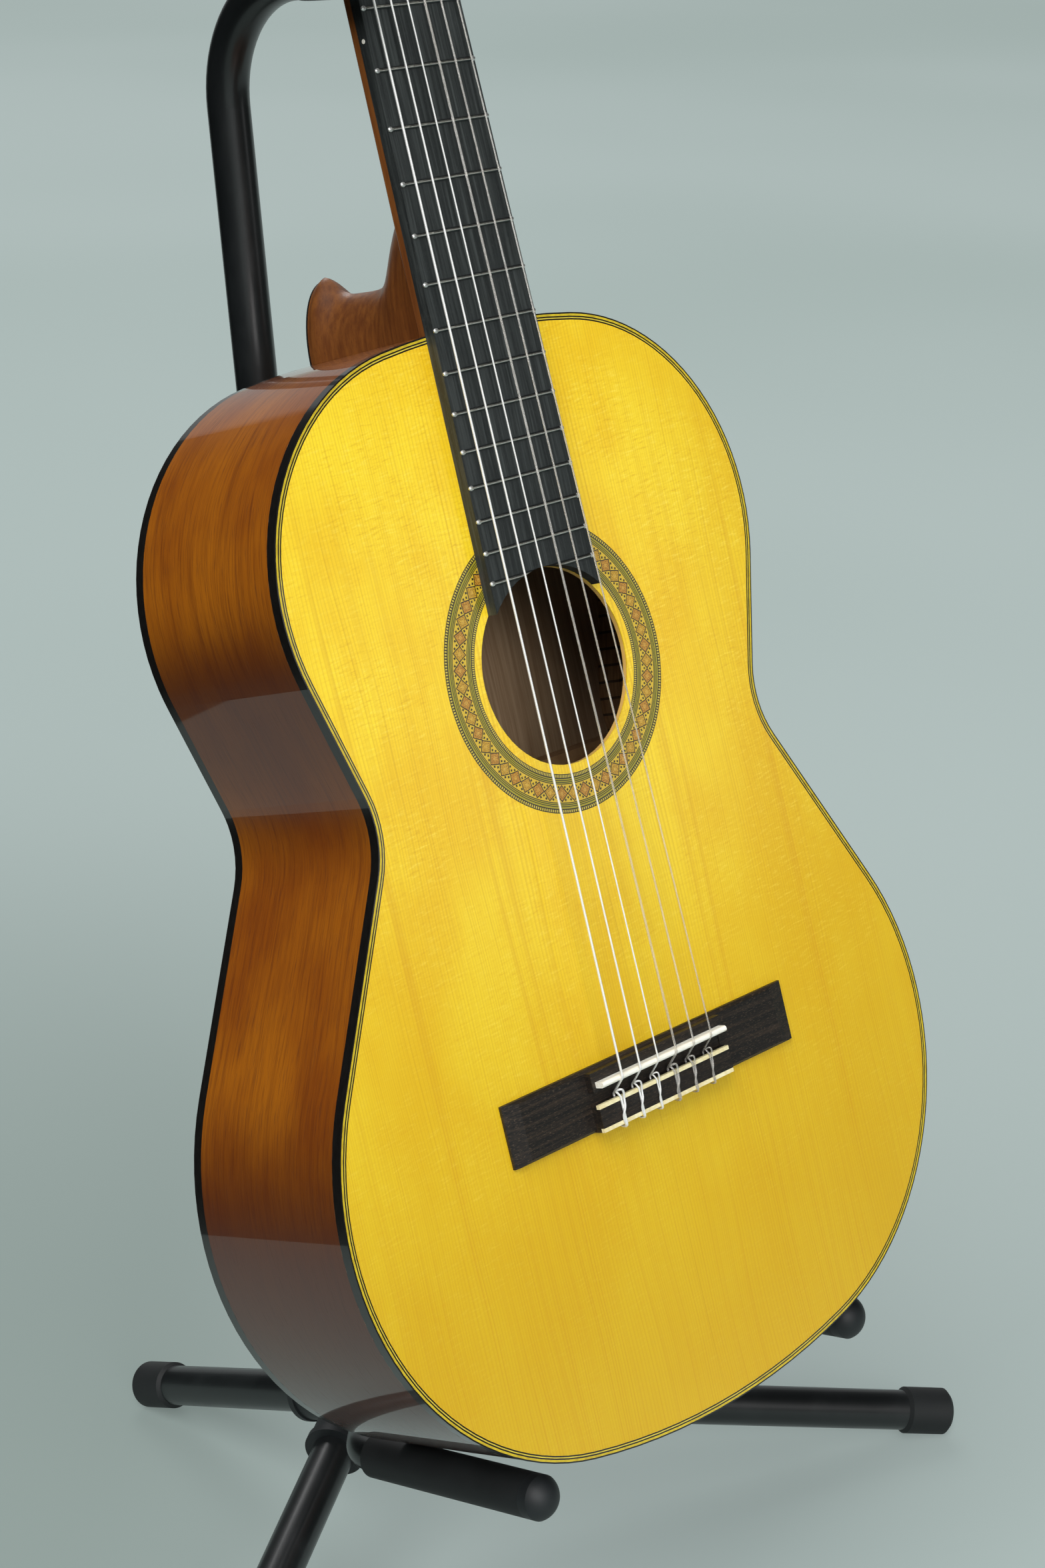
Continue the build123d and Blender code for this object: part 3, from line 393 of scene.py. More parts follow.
def rosette_inlay():
    """Inlaid rings: checked borders, olive lines and a chain of diamonds with dark crosses."""
    f = Finish("rosette_inlay", Coat_Weight=1.0, Coat_Roughness=0.20, Roughness=0.42)
    x, y, _ = f.place(guitar)
    up = y - HOLE_Y
    radius = (x * x + up * up) ** 0.5
    turn = f.node("Math", {0: up, 1: x}, operation="ARCTAN2") / (2 * math.pi)
    black = paint(24, 21, 12)
    olive = paint(156, 144, 24)
    pale = paint(192, 172, 62)
    straw = paint(204, 170, 38)
    check_count = 320.0
    diamond_count = 50.0
    diamond_pitch = 6.9
    diamond_half = 3.6
    chain = 55.35

    def ring(low, high):
        return (radius > low) & (radius < high)

    tone = f.mix(ring(47.0, 49.1) | ring(61.9, 64.1), olive, pale)
    bars = ((turn * check_count) % 1.0) < 0.42
    check = ring(47.35, 48.6) | ring(62.4, 63.6)
    tone = f.mix(check & bars, tone, black)
    for line, half in (
        (47.1, 0.22), (48.8, 0.26), (49.7, 0.17), (50.5, 0.17), (51.3, 0.22),
        (59.4, 0.22), (60.2, 0.17), (61.0, 0.17), (62.2, 0.26), (63.8, 0.24),
    ):
        tone = f.mix(abs(radius - line) < half, tone, black)
    band = ring(51.45, 59.25)
    tone = f.mix(band, tone, straw)
    step = turn * diamond_count
    aside = abs((step % 1.0) - 0.5) * 2.0
    rise = abs(radius - chain) / diamond_half
    diamond = aside + rise
    orange = (step.floor() % 2.0) > 0.5
    speck = f.noise(x * 2.1, y * 2.1, 0.0, 2.0, 0.6, seed=3.0).ramp(0.44, 0.6)
    gold_face = f.mix(speck, paint(150, 108, 14), paint(204, 162, 36))
    orange_face = f.mix(speck, paint(140, 92, 16), paint(200, 147, 42))
    face = f.mix(orange, gold_face, orange_face)
    inside = band & (diamond < 0.94)
    tone = f.mix(inside, tone, face)
    heart = band & (diamond < 0.30)
    tone = f.mix(heart * 0.30, tone, paint(222, 184, 84))
    edge = band & (abs(diamond - 0.97) < 0.085)
    tone = f.mix(edge, tone, black)
    shifted = (step + 0.5) % 1.0
    for offset, height in ((0.0, 1.7), (-0.22, 2.75), (0.22, 2.75)):
        dx = abs(shifted - (0.5 + offset)) * diamond_pitch
        dy = abs(abs(radius - chain) - height)
        upright = (dx < 0.22) & (dy < 0.62)
        level = (dx < 0.58) & (dy < 0.23)
        tone = f.mix(band & (upright | level), tone, black)
    f.surface(Base_Color=tone)
    return f.material


def plain_strip(name, colour, darker, rough, coat):
    """A thin strip of dyed or natural wood or plastic, with slight streaks along its length."""
    f = Finish(name, Roughness=rough, Coat_Weight=coat, Coat_Roughness=0.05)
    x, y, z = f.place(guitar)
    streak = f.noise(x * 0.25, y * 0.25, z * 2.0, 3.0, 0.6)
    f.surface(Base_Color=f.mix(streak.ramp(0.35, 0.7), colour, darker))
    return f.material


def polished(name, colour, darker, rough, matrix):
    """Bare or plated metal with fine wear."""
    f = Finish(name, Metallic=1.0, Roughness=rough)
    x, y, z = f.place(matrix)
    wear = f.noise(x * 0.8, y * 0.8, z * 0.8, 4.0, 0.6)
    f.surface(
        Base_Color=f.mix(wear.ramp(0.4, 0.75), colour, darker),
        Roughness=rough + 0.12 * wear.ramp(0.45, 0.8),
    )
    return f.material


def fret_nickel():
    """Fret wire: a painted highlight along the narrow crown, painted shade on the flanks below it;
    the crown is also smoother.
    """
    f = Finish("fret_nickel", Metallic=1.0, Roughness=0.30)
    x, y, z = f.place(guitar)
    top = BOARD_THICKNESS + FRET_HEIGHT
    # Painted highlight on the crown of the wire; below it the flanks are painted dark as shade
    crown_highlight = z.ramp(top - 0.16, top - 0.06)
    wear = f.noise(x * 0.8, y * 0.8, z * 0.8, 4.0, 0.6)
    shine = f.mix(wear.ramp(0.4, 0.75), paint(240, 240, 230), paint(214, 214, 204))
    f.surface(Base_Color=f.mix(crown_highlight, paint(78, 82, 82), shine), Roughness=0.44 - 0.16 * crown_highlight)
    return f.material


def bone_white():
    """Bone with faint yellow veins."""
    f = Finish("bone", Roughness=0.38, Coat_Weight=0.15)
    x, y, z = f.place(guitar)
    vein = f.noise(x * 0.12, y * 1.2, z * 1.2, 4.0, 0.6)
    f.surface(Base_Color=f.mix(vein.ramp(0.4, 0.8), paint(242, 240, 230), paint(222, 214, 190)))
    return f.material


def wound_string():
    """Silvered wire wound round a core."""
    f = Finish("wound_wire", Metallic=0.4, Roughness=0.36)
    _, y, _ = f.place(guitar)
    turns = (y * 26.0).sine()
    # Painted shade in the grooves between the turns, following the relief
    f.surface(Base_Color=f.mix(turns.ramp(-1.0, 0.6), paint(214, 213, 208), paint(250, 250, 248)))
    f.bump(turns, 0.2, 0.05)
    return f.material


def clear_nylon():
    """Clear, slightly hazy nylon."""
    f = Finish(
        "clear_nylon", Roughness=0.16, IOR=1.45, Transmission_Weight=0.78, Specular_IOR_Level=0.6
    )
    x, y, z = f.place(guitar)
    haze = f.noise(x * 0.5, y * 0.02, z * 0.5, 2.0, 0.5)
    f.surface(Base_Color=f.mix(haze.ramp(0.3, 0.7), paint(246, 243, 238), paint(232, 227, 220)))
    return f.material


def tuner_shaft_finish():
    """Brass worm and journals, and a pearly button below."""
    f = Finish("machine_button", Roughness=0.3)
    x, y, z = f.place(head)
    button = z < BUTTON_TOP
    swirl = f.noise(x * 0.12, y * 0.12, z * 0.3, 4.0, 0.7)
    pearl = f.mix(swirl.ramp(0.35, 0.7), paint(236, 230, 216), paint(204, 196, 182))
    wear = f.noise(x * 0.9, y * 0.9, z * 0.9, 3.0, 0.6)
    brass = f.mix(wear.ramp(0.4, 0.75), BRASS, WORN_BRASS)
    f.surface(
        Base_Color=f.mix(button, brass, pearl),
        Metallic=1.0 - button,
        Roughness=0.28 - 0.06 * button,
    )
    return f.material


def tuner_roller_finish():
    """Cream string barrel inside the head, brass spindle and wheel outside."""
    f = Finish("machine_roller", Roughness=0.3)
    x, y, z = f.place(head)
    barrel = abs(x) < HEAD_WIDTH / 2 - 0.2
    wear = f.noise(x * 0.9, y * 0.9, z * 0.9, 3.0, 0.6)
    brass = f.mix(wear.ramp(0.4, 0.75), BRASS, WORN_BRASS)
    cream = f.mix(wear.ramp(0.35, 0.8), paint(232, 226, 208), paint(210, 200, 178))
    f.surface(
        Base_Color=f.mix(barrel, brass, cream),
        Metallic=1.0 - barrel,
        Roughness=0.26 + 0.1 * barrel,
    )
    return f.material


def inner_timber():
    """Pale unlacquered wood inside the body, kerfed across every few millimetres."""
    f = Finish("inner_timber", Roughness=0.75)
    x, y, z = f.place(guitar)
    grain = f.noise(x * 0.05, y * 0.05, z * 0.7, 4.0, 0.6)
    kerf = ((y * 0.13) % 1.0) < 0.16
    tone = f.mix(grain.ramp(0.3, 0.7), paint(150, 116, 78), paint(118, 84, 52))
    # Painted shade in the kerf cuts, where the relief dips
    f.surface(Base_Color=f.mix(kerf * 0.8, tone, paint(34, 22, 14)))
    f.bump(1.0 - kerf, 0.6, 0.8)
    return f.material


def stand_black(name, colour, rough, coat, grain, strength):
    """Black tube, moulding or rubber with handling marks and a fine surface texture."""
    f = Finish(name, Roughness=rough, Coat_Weight=coat, Coat_Roughness=0.2)
    x, y, z = f.place(Matrix.Identity(4))
    speck = f.noise(x * grain, y * grain, z * grain, 2.0, 0.5)
    smear = f.noise(x * 0.03, y * 0.03, z * 0.012, 4.0, 0.65, seed=6.0).ramp(0.4, 0.75)
    lighter = tuple(min(1.0, c * 1.9 + 0.002) for c in colour[:3]) + (1.0,)
    f.surface(Base_Color=f.mix(smear * 0.6, colour, lighter), Roughness=rough + 0.10 * smear)
    f.bump(speck, strength, 0.08)
    return f.material


spruce = spruce_top()
side_wood = mahogany("side_mahogany", False)
back_wood = mahogany("back_mahogany", True)
cedar = neck_wood()
board_wood = dark_wood(
    "fretboard_ebony", True, paint(28, 32, 32), paint(62, 67, 66), paint(54, 57, 55)
)
bridge_wood = dark_wood(
    "bridge_rosewood", False, paint(12, 9, 7), paint(50, 38, 27), paint(80, 66, 52)
)
veneer_wood = dark_wood(
    "head_rosewood", True, paint(44, 26, 18), paint(84, 50, 34), paint(64, 56, 48)
)
rosette_finish = rosette_inlay()
black_edge = plain_strip("edge_black", paint(13, 12, 11), paint(22, 21, 20), 0.3, 1.0)
cream_line = plain_strip("line_cream", paint(212, 190, 66), paint(190, 164, 44), 0.42, 0.6)
gold_line = plain_strip("line_gold", paint(206, 180, 38), paint(182, 154, 26), 0.42, 0.6)
ivory_strip = plain_strip("tie_ivory", paint(238, 228, 186), paint(224, 208, 156), 0.4, 0.3)
fret_metal = fret_nickel()
fret_end_metal = polished(
    "fret_end_nickel", paint(236, 237, 234), paint(214, 215, 212), 0.42, guitar
)
plate_brass = polished("plate_brass", BRASS, WORN_BRASS, 0.24, head)
screw_metal = polished(
    "screw_steel", paint(180, 180, 178), paint(130, 130, 128), 0.32, Matrix.Identity(4)
)
bone = bone_white()
wire = wound_string()
nylon = clear_nylon()
shaft_finish = tuner_shaft_finish()
roller_finish = tuner_roller_finish()
timber = inner_timber()
tube_black = stand_black("tube_black", paint(14, 17, 18), 0.36, 0.35, 1.6, 0.05)
moulded_black = stand_black("moulded_black", paint(17, 21, 23), 0.52, 0.0, 2.4, 0.16)
rubber_black = stand_black("rubber_black", paint(12, 16, 17), 0.62, 0.0, 1.1, 0.22)

finish_of = {
    "soundboard": spruce, "rosette": rosette_finish, "back_plate": back_wood,
    "bass_rib": side_wood, "treble_rib": side_wood,
    "top_binding": black_edge, "back_binding": black_edge,
    "top_lining": timber, "back_lining": timber, "fan_braces": timber, "harmonic_bars": timber,
    "back_braces": timber, "neck_block": timber, "tail_block": timber,
    "neck": cedar, "headstock": cedar, "heel_cap": cedar, "head_veneer": veneer_wood,
    "fretboard": board_wood, "frets": fret_metal, "nut": bone, "saddle": bone,
    "bridge": bridge_wood, "tie_block_inlays": ivory_strip,
    "bass_strings": wire, "treble_strings": nylon,
    "tuner_plate_bass": plate_brass, "tuner_plate_treble": plate_brass,
    "tripod_hub": moulded_black, "leg_screws": screw_metal,
    "height_clamp_collar": moulded_black, "height_clamp_knob": moulded_black,
    "cradle_caps": moulded_black, "yoke_caps": moulded_black,
    "cradle_sleeves": rubber_black, "yoke_sleeve": rubber_black,
}
for name, obj in nodes.items():
    if name.startswith("tuner_shaft"):
        finish = shaft_finish
    elif name.startswith("tuner_roller"):
        finish = roller_finish
    elif name.endswith("_foot"):
        finish = rubber_black
    else:
        finish = finish_of.get(name, tube_black)
    obj.data.materials.clear()
    obj.data.materials.append(finish)


# Modelling helpers

def alone(obj):
    """Makes one object the only selected and active one."""
    bpy.ops.object.select_all(action="DESELECT")
    obj.select_set(True)
    bpy.context.view_layer.objects.active = obj


def finish_piece(obj, name, body, slot, *materials):
    """Names a piece, applies its place, gives it its materials and lets it ride on its body."""
    alone(obj)
    bpy.ops.object.transform_apply(location=True, rotation=True, scale=True)
    obj.name = name
    obj.data.name = name
    if materials:
        obj.data.materials.clear()
        for material in materials:
            obj.data.materials.append(material)
    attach(obj, body)
    return obj


def apply_modifier(obj, kind, **settings):
    """Adds one modifier with its settings and applies it."""
    alone(obj)
    modifier = obj.modifiers.new(kind.lower(), kind)
    for key, value in settings.items():
        setattr(modifier, key, value)
    bpy.ops.object.modifier_apply(modifier=modifier.name)


def joined(objs):
    """Several meshes as one object."""
    bpy.ops.object.select_all(action="DESELECT")
    for obj in objs:
        obj.select_set(True)
    bpy.context.view_layer.objects.active = objs[0]
    bpy.ops.object.join()
    return bpy.context.view_layer.objects.active


# Purfling: thin lines that run from the rim of the binding into the soundboard,
# each given by its width in millimetres and its strip

PURFLING_STRIPS = (black_edge, cream_line, gold_line)
PURFLING = ((0.95, 2), (0.60, 0), (0.50, 1), (0.60, 0))


def make_purfling():
    """Insets the binding's outer edge ring by ring, one strip of wood for each."""
    copy = nodes["top_binding"].copy()
    copy.data = nodes["top_binding"].data.copy()
    copy.parent = None
    bpy.context.scene.collection.objects.link(copy)
    for key in list(copy.keys()):
        del copy[key]
    alone(copy)
    bpy.ops.object.mode_set(mode="EDIT")
    bpy.ops.mesh.select_all(action="SELECT")
    bpy.ops.mesh.remove_doubles(threshold=MERGE_DISTANCE)
    bpy.ops.mesh.select_all(action="DESELECT")
    bpy.ops.object.mode_set(mode="OBJECT")
    inverse = guitar.inverted()
    local = [inverse @ v.co for v in copy.data.vertices]
    top = [abs(p.z) < PLANE_TOLERANCE for p in local]
    users = {}
    for face in copy.data.polygons:
        if all(top[i] for i in face.vertices):
            for key in face.edge_keys:
                users.setdefault(key, []).append(inverse @ face.center)
    middle = Vector((0, -BODY_MID * MM, 0))
    rim = set()
    for key, centres in users.items():
        start, end = local[key[0]], local[key[1]]
        square = Vector((start.y - end.y, end.x - start.x, 0))
        inward = (centres[0] - start).dot(square) * (middle - start).dot(square) > 0
        if len(centres) == 1 and inward:
            rim.add(key)
    bpy.context.tool_settings.mesh_select_mode = (False, True, False)
    for edge in copy.data.edges:
        edge.select = edge.key not in rim
    bpy.ops.object.mode_set(mode="EDIT")
    bpy.ops.mesh.delete(type="EDGE")
    bpy.ops.mesh.select_all(action="SELECT")
    bpy.ops.mesh.edge_face_add()
    copy.data.materials.clear()
    for material in PURFLING_STRIPS:
        copy.data.materials.append(material)
    bpy.context.tool_settings.mesh_select_mode = (False, False, True)
    bpy.ops.mesh.select_all(action="SELECT")
    bpy.ops.mesh.inset(thickness=PURFLING_MARGIN * MM, depth=0.0)
    bpy.ops.mesh.select_all(action="INVERT")
    bpy.ops.mesh.delete(type="FACE")
    bpy.ops.mesh.select_all(action="SELECT")
    for width, index in PURFLING:
        copy.active_material_index = index
        bpy.ops.object.material_slot_assign()
        bpy.ops.mesh.inset(thickness=width * MM, depth=0.0)
    bpy.ops.mesh.delete(type="FACE")
    bpy.ops.mesh.select_all(action="SELECT")
    bpy.ops.mesh.normals_make_consistent(inside=False)
    bpy.ops.object.mode_set(mode="OBJECT")
    out = guitar.to_3x3() @ Vector((0, 0, 1))
    if copy.data.polygons[0].normal.dot(out) < 0:
        bpy.ops.object.mode_set(mode="EDIT")
        bpy.ops.mesh.flip_normals()
        bpy.ops.object.mode_set(mode="OBJECT")
    copy.data.transform(Matrix.Translation(out * PURFLING_PROUD * MM))
    apply_modifier(copy, "SOLIDIFY", thickness=PURFLING_DEPTH * MM, offset=-1.0)
    finish_piece(copy, "purfling_lines", "guitar", "inlay")


# Strings: the tied loops on the bridge and the turns on the rollers

def curve_tube(points, radius, matrix):
    """A round strand along a smooth curve through the points, as a mesh in place."""
    bpy.ops.curve.primitive_nurbs_path_add()
    obj = bpy.context.object
    spline = obj.data.splines[0]
    spline.points.add(len(points) - len(spline.points))
    for slot, point in zip(spline.points, points):
        slot.co = (*(matrix @ Vector([c * MM for c in point])), 1.0)
    spline.order_u = 3
    spline.use_endpoint_u = True
    spline.resolution_u = 4
    obj.location = (0, 0, 0)
    obj.data.bevel_depth = radius * MM
    obj.data.bevel_resolution = 2
    obj.data.use_fill_caps = True
    alone(obj)
    bpy.ops.object.convert(target="MESH")
    return bpy.context.object


def make_tie(index):
    """The string's end: back over the block, hooked round the string and tucked under."""
    radius = STRING_RADII[index]
    x = (index - 2.5) * STRING_SPACING_AT_SADDLE
    top = TIE_BLOCK_HEIGHT + radius + 0.15
    gap = radius * 2.05
    front = TIE_FRONT
    back = TIE_BACK
    points = [
        (x, front - 0.4, top),
        (x - gap * 0.4, front + 1.4, top - 0.6),
        (x - gap * 1.2, front + 2.5, top - 1.4),
        (x - gap * 0.7, front + 3.2, top + 0.4),
        (x + gap * 0.6, front + 3.0, top + 1.2),
        (x + gap * 1.3, front + 1.2, top + 0.9),
        (x + gap * 1.2, front - 2.0, top + 0.2),
        (x + gap * 0.6, front - 4.4, top + gap * 0.8),
        (x - gap * 0.6, front - 6.4, top + gap * 0.9),
        (x - gap * 1.2, front - 8.6, top + 0.2),
        (x - gap * 0.9, back + 1.2, top + 0.1),
        (x - gap * 0.2, back - 0.6 - radius, top - 0.4),
        (x + gap * 0.8, back - 0.9 - radius, top - 2.0),
    ]
    return curve_tube(points, radius * 0.94, guitar)


def make_ties():
    """The knots of three wound and three nylon strings on the tie block."""
    bass = joined([make_tie(i) for i in range(3)])
    finish_piece(bass, "bass_string_ties", "guitar", "wound_string", wire)
    treble = joined([make_tie(i) for i in range(3, 6)])
    finish_piece(treble, "treble_string_ties", "guitar", "nylon_string", nylon)


def make_roller_turns():
    """A few turns of string on each roller, beside the place where the string arrives."""
    for side, label, slot, finish in (
        (-1, "bass", "wound_string", wire), (1, "treble", "nylon_string", nylon)
    ):
        for order in range(3):
            index = order if side < 0 else 5 - order
            radius = STRING_RADII[index]
            pitch = radius * 2.08
            start = side * ROLLER_STRING_PLACES[order]
            bpy.ops.mesh.primitive_circle_add(
                vertices=8, radius=radius * MM, rotation=(math.pi / 2, 0, 0)
            )
            coil = bpy.context.object
            bpy.ops.object.transform_apply(location=False, rotation=True, scale=False)
            for v in coil.data.vertices:
                v.co.z += (ROLLER_RADIUS + radius + ROLLER_GAP) * MM
            apply_modifier(
                coil, "SCREW", axis="X", angle=2 * math.pi * ROLLER_TURNS,
                screw_offset=side * pitch * MM * ROLLER_TURNS, steps=80, render_steps=80,
                use_merge_vertices=False, use_normal_calculate=True,
            )
            alone(coil)
            bpy.ops.object.mode_set(mode="EDIT")
            bpy.context.tool_settings.mesh_select_mode = (True, False, False)
            bpy.ops.mesh.select_all(action="SELECT")
            bpy.ops.mesh.remove_doubles(threshold=MERGE_DISTANCE)
            bpy.ops.mesh.select_all(action="DESELECT")
            bpy.ops.mesh.select_non_manifold(extend=False)
            bpy.ops.mesh.edge_face_add()
            bpy.ops.mesh.select_all(action="SELECT")
            bpy.ops.mesh.normals_make_consistent(inside=False)
            bpy.ops.object.mode_set(mode="OBJECT")
            place = Vector((start, ROLLER_FIRST + ROLLER_SPACING * order, -ROLLER_DROP)) * MM
            coil.data.transform(head @ Matrix.Translation(place))
            alone(coil)
            bpy.ops.object.shade_smooth()
            number = f"{label}_{order + 1}"
            finish_piece(coil, f"string_turns_{number}", f"tuner_roller_{number}", slot, finish)


# Small fittings: plate screws, clamp knob, side dots and fret ends

def slotted_screw(radius, height):
    """A domed screw head with a cut slot, on +Z."""
    bpy.ops.mesh.primitive_cylinder_add(vertices=20, radius=radius * MM, depth=height * MM)
    obj = bpy.context.object
    apply_modifier(obj, "BEVEL", width=height * 0.42 * MM, segments=3, limit_method="ANGLE")
    bpy.ops.mesh.primitive_cube_add(size=1.0, location=(0, 0, height * 0.5 * MM))
    cutter = bpy.context.object
    cutter.scale = (radius * 3 * MM, radius * 0.26 * MM, height * 0.7 * MM)
    apply_modifier(obj, "BOOLEAN", object=cutter, operation="DIFFERENCE", solver="EXACT")
    bpy.data.objects.remove(cutter)
    return obj


def make_plate_screws():
    """Four screws in each machine plate, their slots at different turns."""
    low = ROLLER_FIRST - PLATE_MARGIN + SCREW_FROM_END
    high = ROLLER_FIRST + 2 * ROLLER_SPACING + PLATE_MARGIN - SCREW_FROM_END
    places = [(y, z) for y in (low, high) for z in SCREW_DROPS]
    for side, label in ((-1, "bass"), (1, "treble")):
        heads = []
        outward = Matrix.Rotation(side * math.pi / 2, 4, "Y")
        x = side * (HEAD_WIDTH / 2 + PLATE_THICKNESS + SCREW_PROUD)
        for index, (y, z) in enumerate(places):
            screw = slotted_screw(SCREW_RADIUS, SCREW_HEIGHT)
            place = Matrix.Translation(Vector((x, y, z)) * MM)
            turn = Matrix.Rotation(SCREW_TURN * index, 4, "Z")
            screw.data.transform(head @ place @ outward @ turn)
            heads.append(screw)
        finish_piece(joined(heads), f"plate_screws_{label}", "guitar", "nickel", plate_brass)


def make_clamp_knob():
    """Moulded knob with two round wings and a sunk face, on its steel screw."""
    clamp = joints["clamp_turn"]
    back = Vector(clamp["axis"])
    side = Vector((1.0, 0.0, 0.0))
    axes = Matrix((side, back.cross(side), back)).transposed().to_4x4()
    place = Matrix.Translation(clamp["pos_m"]) @ axes
    bpy.ops.object.select_all(action="DESELECT")
    bpy.ops.mesh.primitive_circle_add(vertices=96, radius=KNOB_RADIUS * MM, fill_type="NGON")
    knob = bpy.context.object
    for vertex in knob.data.vertices:
        turn = math.atan2(vertex.co.y, vertex.co.x)
        vertex.co *= 1.0 - KNOB_WAIST * (0.5 + 0.5 * math.cos(KNOB_WINGS * turn))
    bpy.ops.object.mode_set(mode="EDIT")
    bpy.ops.mesh.select_all(action="SELECT")
    bpy.ops.mesh.extrude_region_move(TRANSFORM_OT_translate={"value": (0.0, 0.0, KNOB_LENGTH * MM)})
    bpy.ops.mesh.inset(thickness=KNOB_RIM * MM)
    bpy.ops.transform.translate(value=(0.0, 0.0, -KNOB_HOLLOW * MM))
    bpy.ops.mesh.select_all(action="SELECT")
    bpy.ops.mesh.normals_make_consistent(inside=False)
    bpy.ops.object.mode_set(mode="OBJECT")
    apply_modifier(
        knob, "BEVEL", width=KNOB_ROUNDING * MM, segments=4,
        limit_method="ANGLE", angle_limit=SMOOTH_ANGLE,
    )
    bpy.ops.object.shade_smooth_by_angle(angle=SMOOTH_ANGLE)
    knob.data.transform(place)
    grip = finish_piece(knob, "clamp_knob_grip", "clamp_knob", "black_plastic", moulded_black)
    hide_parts("height_clamp_knob")
    bpy.ops.mesh.primitive_cylinder_add(
        vertices=40, radius=CLAMP_SCREW_RADIUS * MM, depth=CLAMP_SCREW_LENGTH * MM,
        location=(0.0, 0.0, CLAMP_SCREW_MIDDLE * MM),
    )
    screw = bpy.context.object
    apply_modifier(
        screw, "BEVEL", width=CLAMP_SCREW_ROUNDING * MM, segments=2, limit_method="ANGLE"
    )
    bpy.ops.object.shade_smooth_by_angle(angle=SMOOTH_ANGLE)
    bpy.ops.object.transform_apply(location=True)
    screw.data.transform(place)
    finish_piece(screw, "clamp_screw", "clamp_knob", "screw_steel", screw_metal)


def fret_y(number):
    """A fret's place along the neck; 0 is the nut."""
    return SCALE_LENGTH * (2 ** (-number / 12) - 0.5)


def board_half_width(y):
    """Half the width of the tapered fretboard."""
    taper = BOARD_WIDTH_AT_BODY - BOARD_WIDTH_AT_NUT
    return (BOARD_WIDTH_AT_BODY - taper * y / NUT_Y) / 2


def make_side_dots():
    """Small pale dots in the bass edge of the fretboard."""
    dots = []
    for fret in SIDE_DOT_FRETS:
        y = (fret_y(fret) + fret_y(fret - 1)) / 2
        bpy.ops.mesh.primitive_cylinder_add(
            vertices=24, radius=SIDE_DOT_RADIUS * MM, depth=SIDE_DOT_LENGTH * MM
        )
        dot = bpy.context.object
        apply_modifier(
            dot, "BEVEL", width=SIDE_DOT_ROUNDING * MM, segments=2, limit_method="ANGLE"
        )
        x = SIDE_DOT_SINK - board_half_width(y)
        place = Matrix.Translation(Vector((x, y, BOARD_THICKNESS / 2)) * MM)
        dot.data.transform(guitar @ place @ Matrix.Rotation(math.pi / 2, 4, "Y"))
        dots.append(dot)
    finish_piece(joined(dots), "side_dots", "guitar", "bone", bone)


def make_fret_ends():
    """Rounded, polished ends of the fret wires along both edges of the fretboard."""
    ends = []
    z = BOARD_THICKNESS + FRET_HEIGHT - FRET_END_DROP
    for fret in range(1, FRET_COUNT + 1):
        y = fret_y(fret)
        x = board_half_width(y) - FRET_INSET - FRET_END_INSET
        for side in (-1, 1):
            bpy.ops.mesh.primitive_uv_sphere_add(segments=16, ring_count=8, radius=1.0)
            end = bpy.context.object
            end.data.transform(Matrix.Diagonal([half * MM for half in FRET_END_HALVES] + [1.0]))
            end.data.transform(guitar @ Matrix.Translation(Vector((side * x, y, z)) * MM))
            ends.append(end)
    piece = finish_piece(joined(ends), "fret_ends", "guitar", "nickel", fret_end_metal)
    alone(piece)
    bpy.ops.object.shade_smooth()


make_purfling()
make_ties()
make_fret_ends()
make_roller_turns()
make_plate_screws()
make_side_dots()
make_clamp_knob()


# Camera, floor and light, in metres and degrees; AHEAD is the camera's heading along the floor

CAMERA_FROM_JOINT = Vector((-0.89417, -0.91040, 0.27546))
CAMERA_DOWN = 20.815
CAMERA_TURN = -45.369
CAMERA_LENS = 69.76
AHEAD = Vector((0.712, 0.702, 0.0))
FLOOR_SIZE = 60.0
FLOOR_GLOW = 1.3
FLOOR_GLOW_SHARE = 0.45

bpy.ops.object.camera_add(
    location=joint_point + CAMERA_FROM_JOINT,
    rotation=(math.radians(90 - CAMERA_DOWN), 0, math.radians(CAMERA_TURN)),
)
camera = bpy.context.object
camera.data.lens = CAMERA_LENS
camera.data.sensor_width = 36.0
camera.data.clip_end = 200.0
bpy.context.scene.camera = camera


def floor_finish():
    """Pale paper with painted shade towards the near left corner; to the eye and in gloss its
    shadows are softened.
    """
    f = Finish("pale_floor", Roughness=0.9, Specular_IOR_Level=0.1)
    x, y, _ = f.place(Matrix.Identity(4))
    cloud = f.noise(x * 0.0004, y * 0.0004, 0.0, 2.0, 0.5)
    tone = f.mix(cloud.ramp(0.3, 0.7), paint(161, 173, 171), paint(153, 166, 163))
    left = y * AHEAD.x - x * AHEAD.y
    ahead = x * AHEAD.x + y * AHEAD.y
    # Painted shade: the floor darkens to the left of the camera's heading, near the camera
    near_corner_shade = left.ramp(-60.0, 180.0) * (1.0 - ahead.ramp(100.0, 1250.0))
    tone = f.mix(near_corner_shade * 0.95, tone, paint(133, 146, 142))
    f.surface(Base_Color=tone)
    path = f.node("LightPath", out="Is Camera Ray")
    outs = path.socket.node.outputs
    seen = path | Value(f, outs["Is Glossy Ray"]) | Value(f, outs["Is Transmission Ray"])
    glow = f.node("Emission", {"Color": tone, "Strength": FLOOR_GLOW})
    lit = Value(f, f.shader.outputs[0])
    blend = f.node("MixShader", {0: seen * FLOOR_GLOW_SHARE, 1: lit, 2: glow})
    f.put(f.tree.nodes["Material Output"].inputs["Surface"], blend)
    return f.material


bpy.ops.mesh.primitive_plane_add(size=FLOOR_SIZE)
floor = bpy.context.object
floor.name = "floor"
floor.data.materials.append(floor_finish())


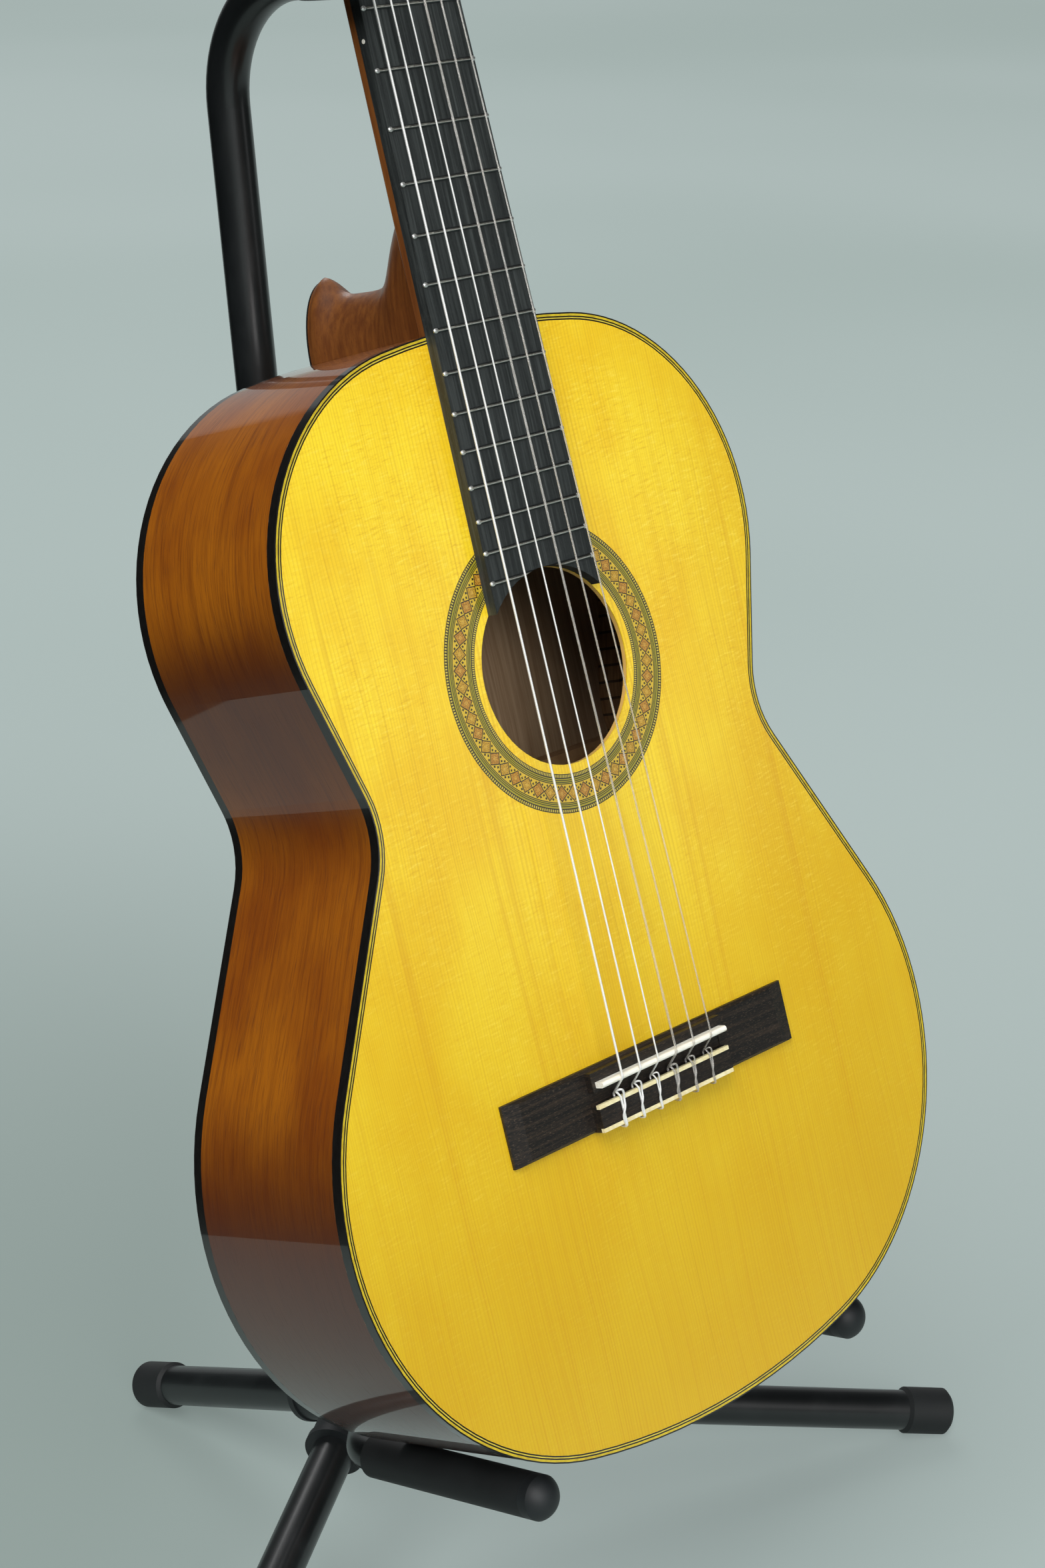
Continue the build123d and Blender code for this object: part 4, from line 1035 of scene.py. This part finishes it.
def area_light(name, place, aim, size, power):
    """A white soft box that faces a point."""
    bpy.ops.object.light_add(type="AREA", location=place)
    light = bpy.context.object
    light.name = name
    light.data.shape = "RECTANGLE"
    light.data.size, light.data.size_y = size
    light.data.energy = power
    light.rotation_mode = "QUATERNION"
    light.rotation_quaternion = (Vector(aim) - Vector(place)).to_track_quat("-Z", "Y")


area_light("overhead_softbox", (-8.5, -3.0, 12.0), (0.0, 0.0, 0.5), (11.0, 11.0), 2500.0)
area_light("front_softbox", (-6.0, -16.0, 9.0), (0.0, 0.0, 0.5), (9.0, 7.0), 1750.0)
area_light("glow_softbox", (1.45, -1.72, 0.80), (0.0, -0.1, 0.5), (0.5, 0.5), 0.7)
area_light("rear_softbox", (8.8, 12.0, 12.8), (0.0, 0.0, 0.4), (9.0, 9.0), 900.0)


dark_card = Finish(
    "dark_card", Roughness=1.0, Specular_IOR_Level=0.0, Base_Color=paint(26, 24, 22)
).material


def flag(name, start, end, height, seen_by_diffuse):
    """A dark upright card, unseen itself, that shows in lacquer as the paper's dark edge."""
    bpy.ops.mesh.primitive_plane_add(size=1.0)
    card = bpy.context.object
    card.name = name
    corners = [(*foot, z) for z in (0.0, height) for foot in (start, end)]
    for vertex, corner in zip(card.data.vertices, corners):
        vertex.co = corner
    card.data.materials.append(dark_card)
    card.visible_camera = False
    card.visible_diffuse = seen_by_diffuse
    card.visible_shadow = False
    card.visible_transmission = False
    card.visible_volume_scatter = False


flag("side_flag", (-2.60, -1.64), (0.18, 1.14), 3.5, True)
flag("front_flag", (-0.20, -3.70), (3.70, -0.20), 3.5, False)


class Sky(Finish):
    """The studio round the object: even to the eye, and dark in gloss away from the lit paper."""

    def __init__(self, name, strength, dark, forward, reach):
        self.world = bpy.data.worlds.new(name)
        self.world.use_nodes = True
        self.tree = self.world.node_tree
        direction = self.node("TexCoord", out="Generated")
        glossy = self.node("LightPath", out="Is Glossy Ray")
        shaded = glossy * (1.0 - self.dot(direction, forward).ramp(reach, reach + 0.04))
        level = strength * (1.0 - shaded * (1.0 - dark))
        background = self.tree.nodes["Background"]
        self.put(background.inputs["Color"], (0.90, 0.95, 0.95, 1.0))
        self.put(background.inputs["Strength"], level)


bpy.context.scene.world = Sky("studio", 0.30, 0.16, AHEAD, 0.80).world

bpy.context.scene.view_settings.view_transform = "Standard"
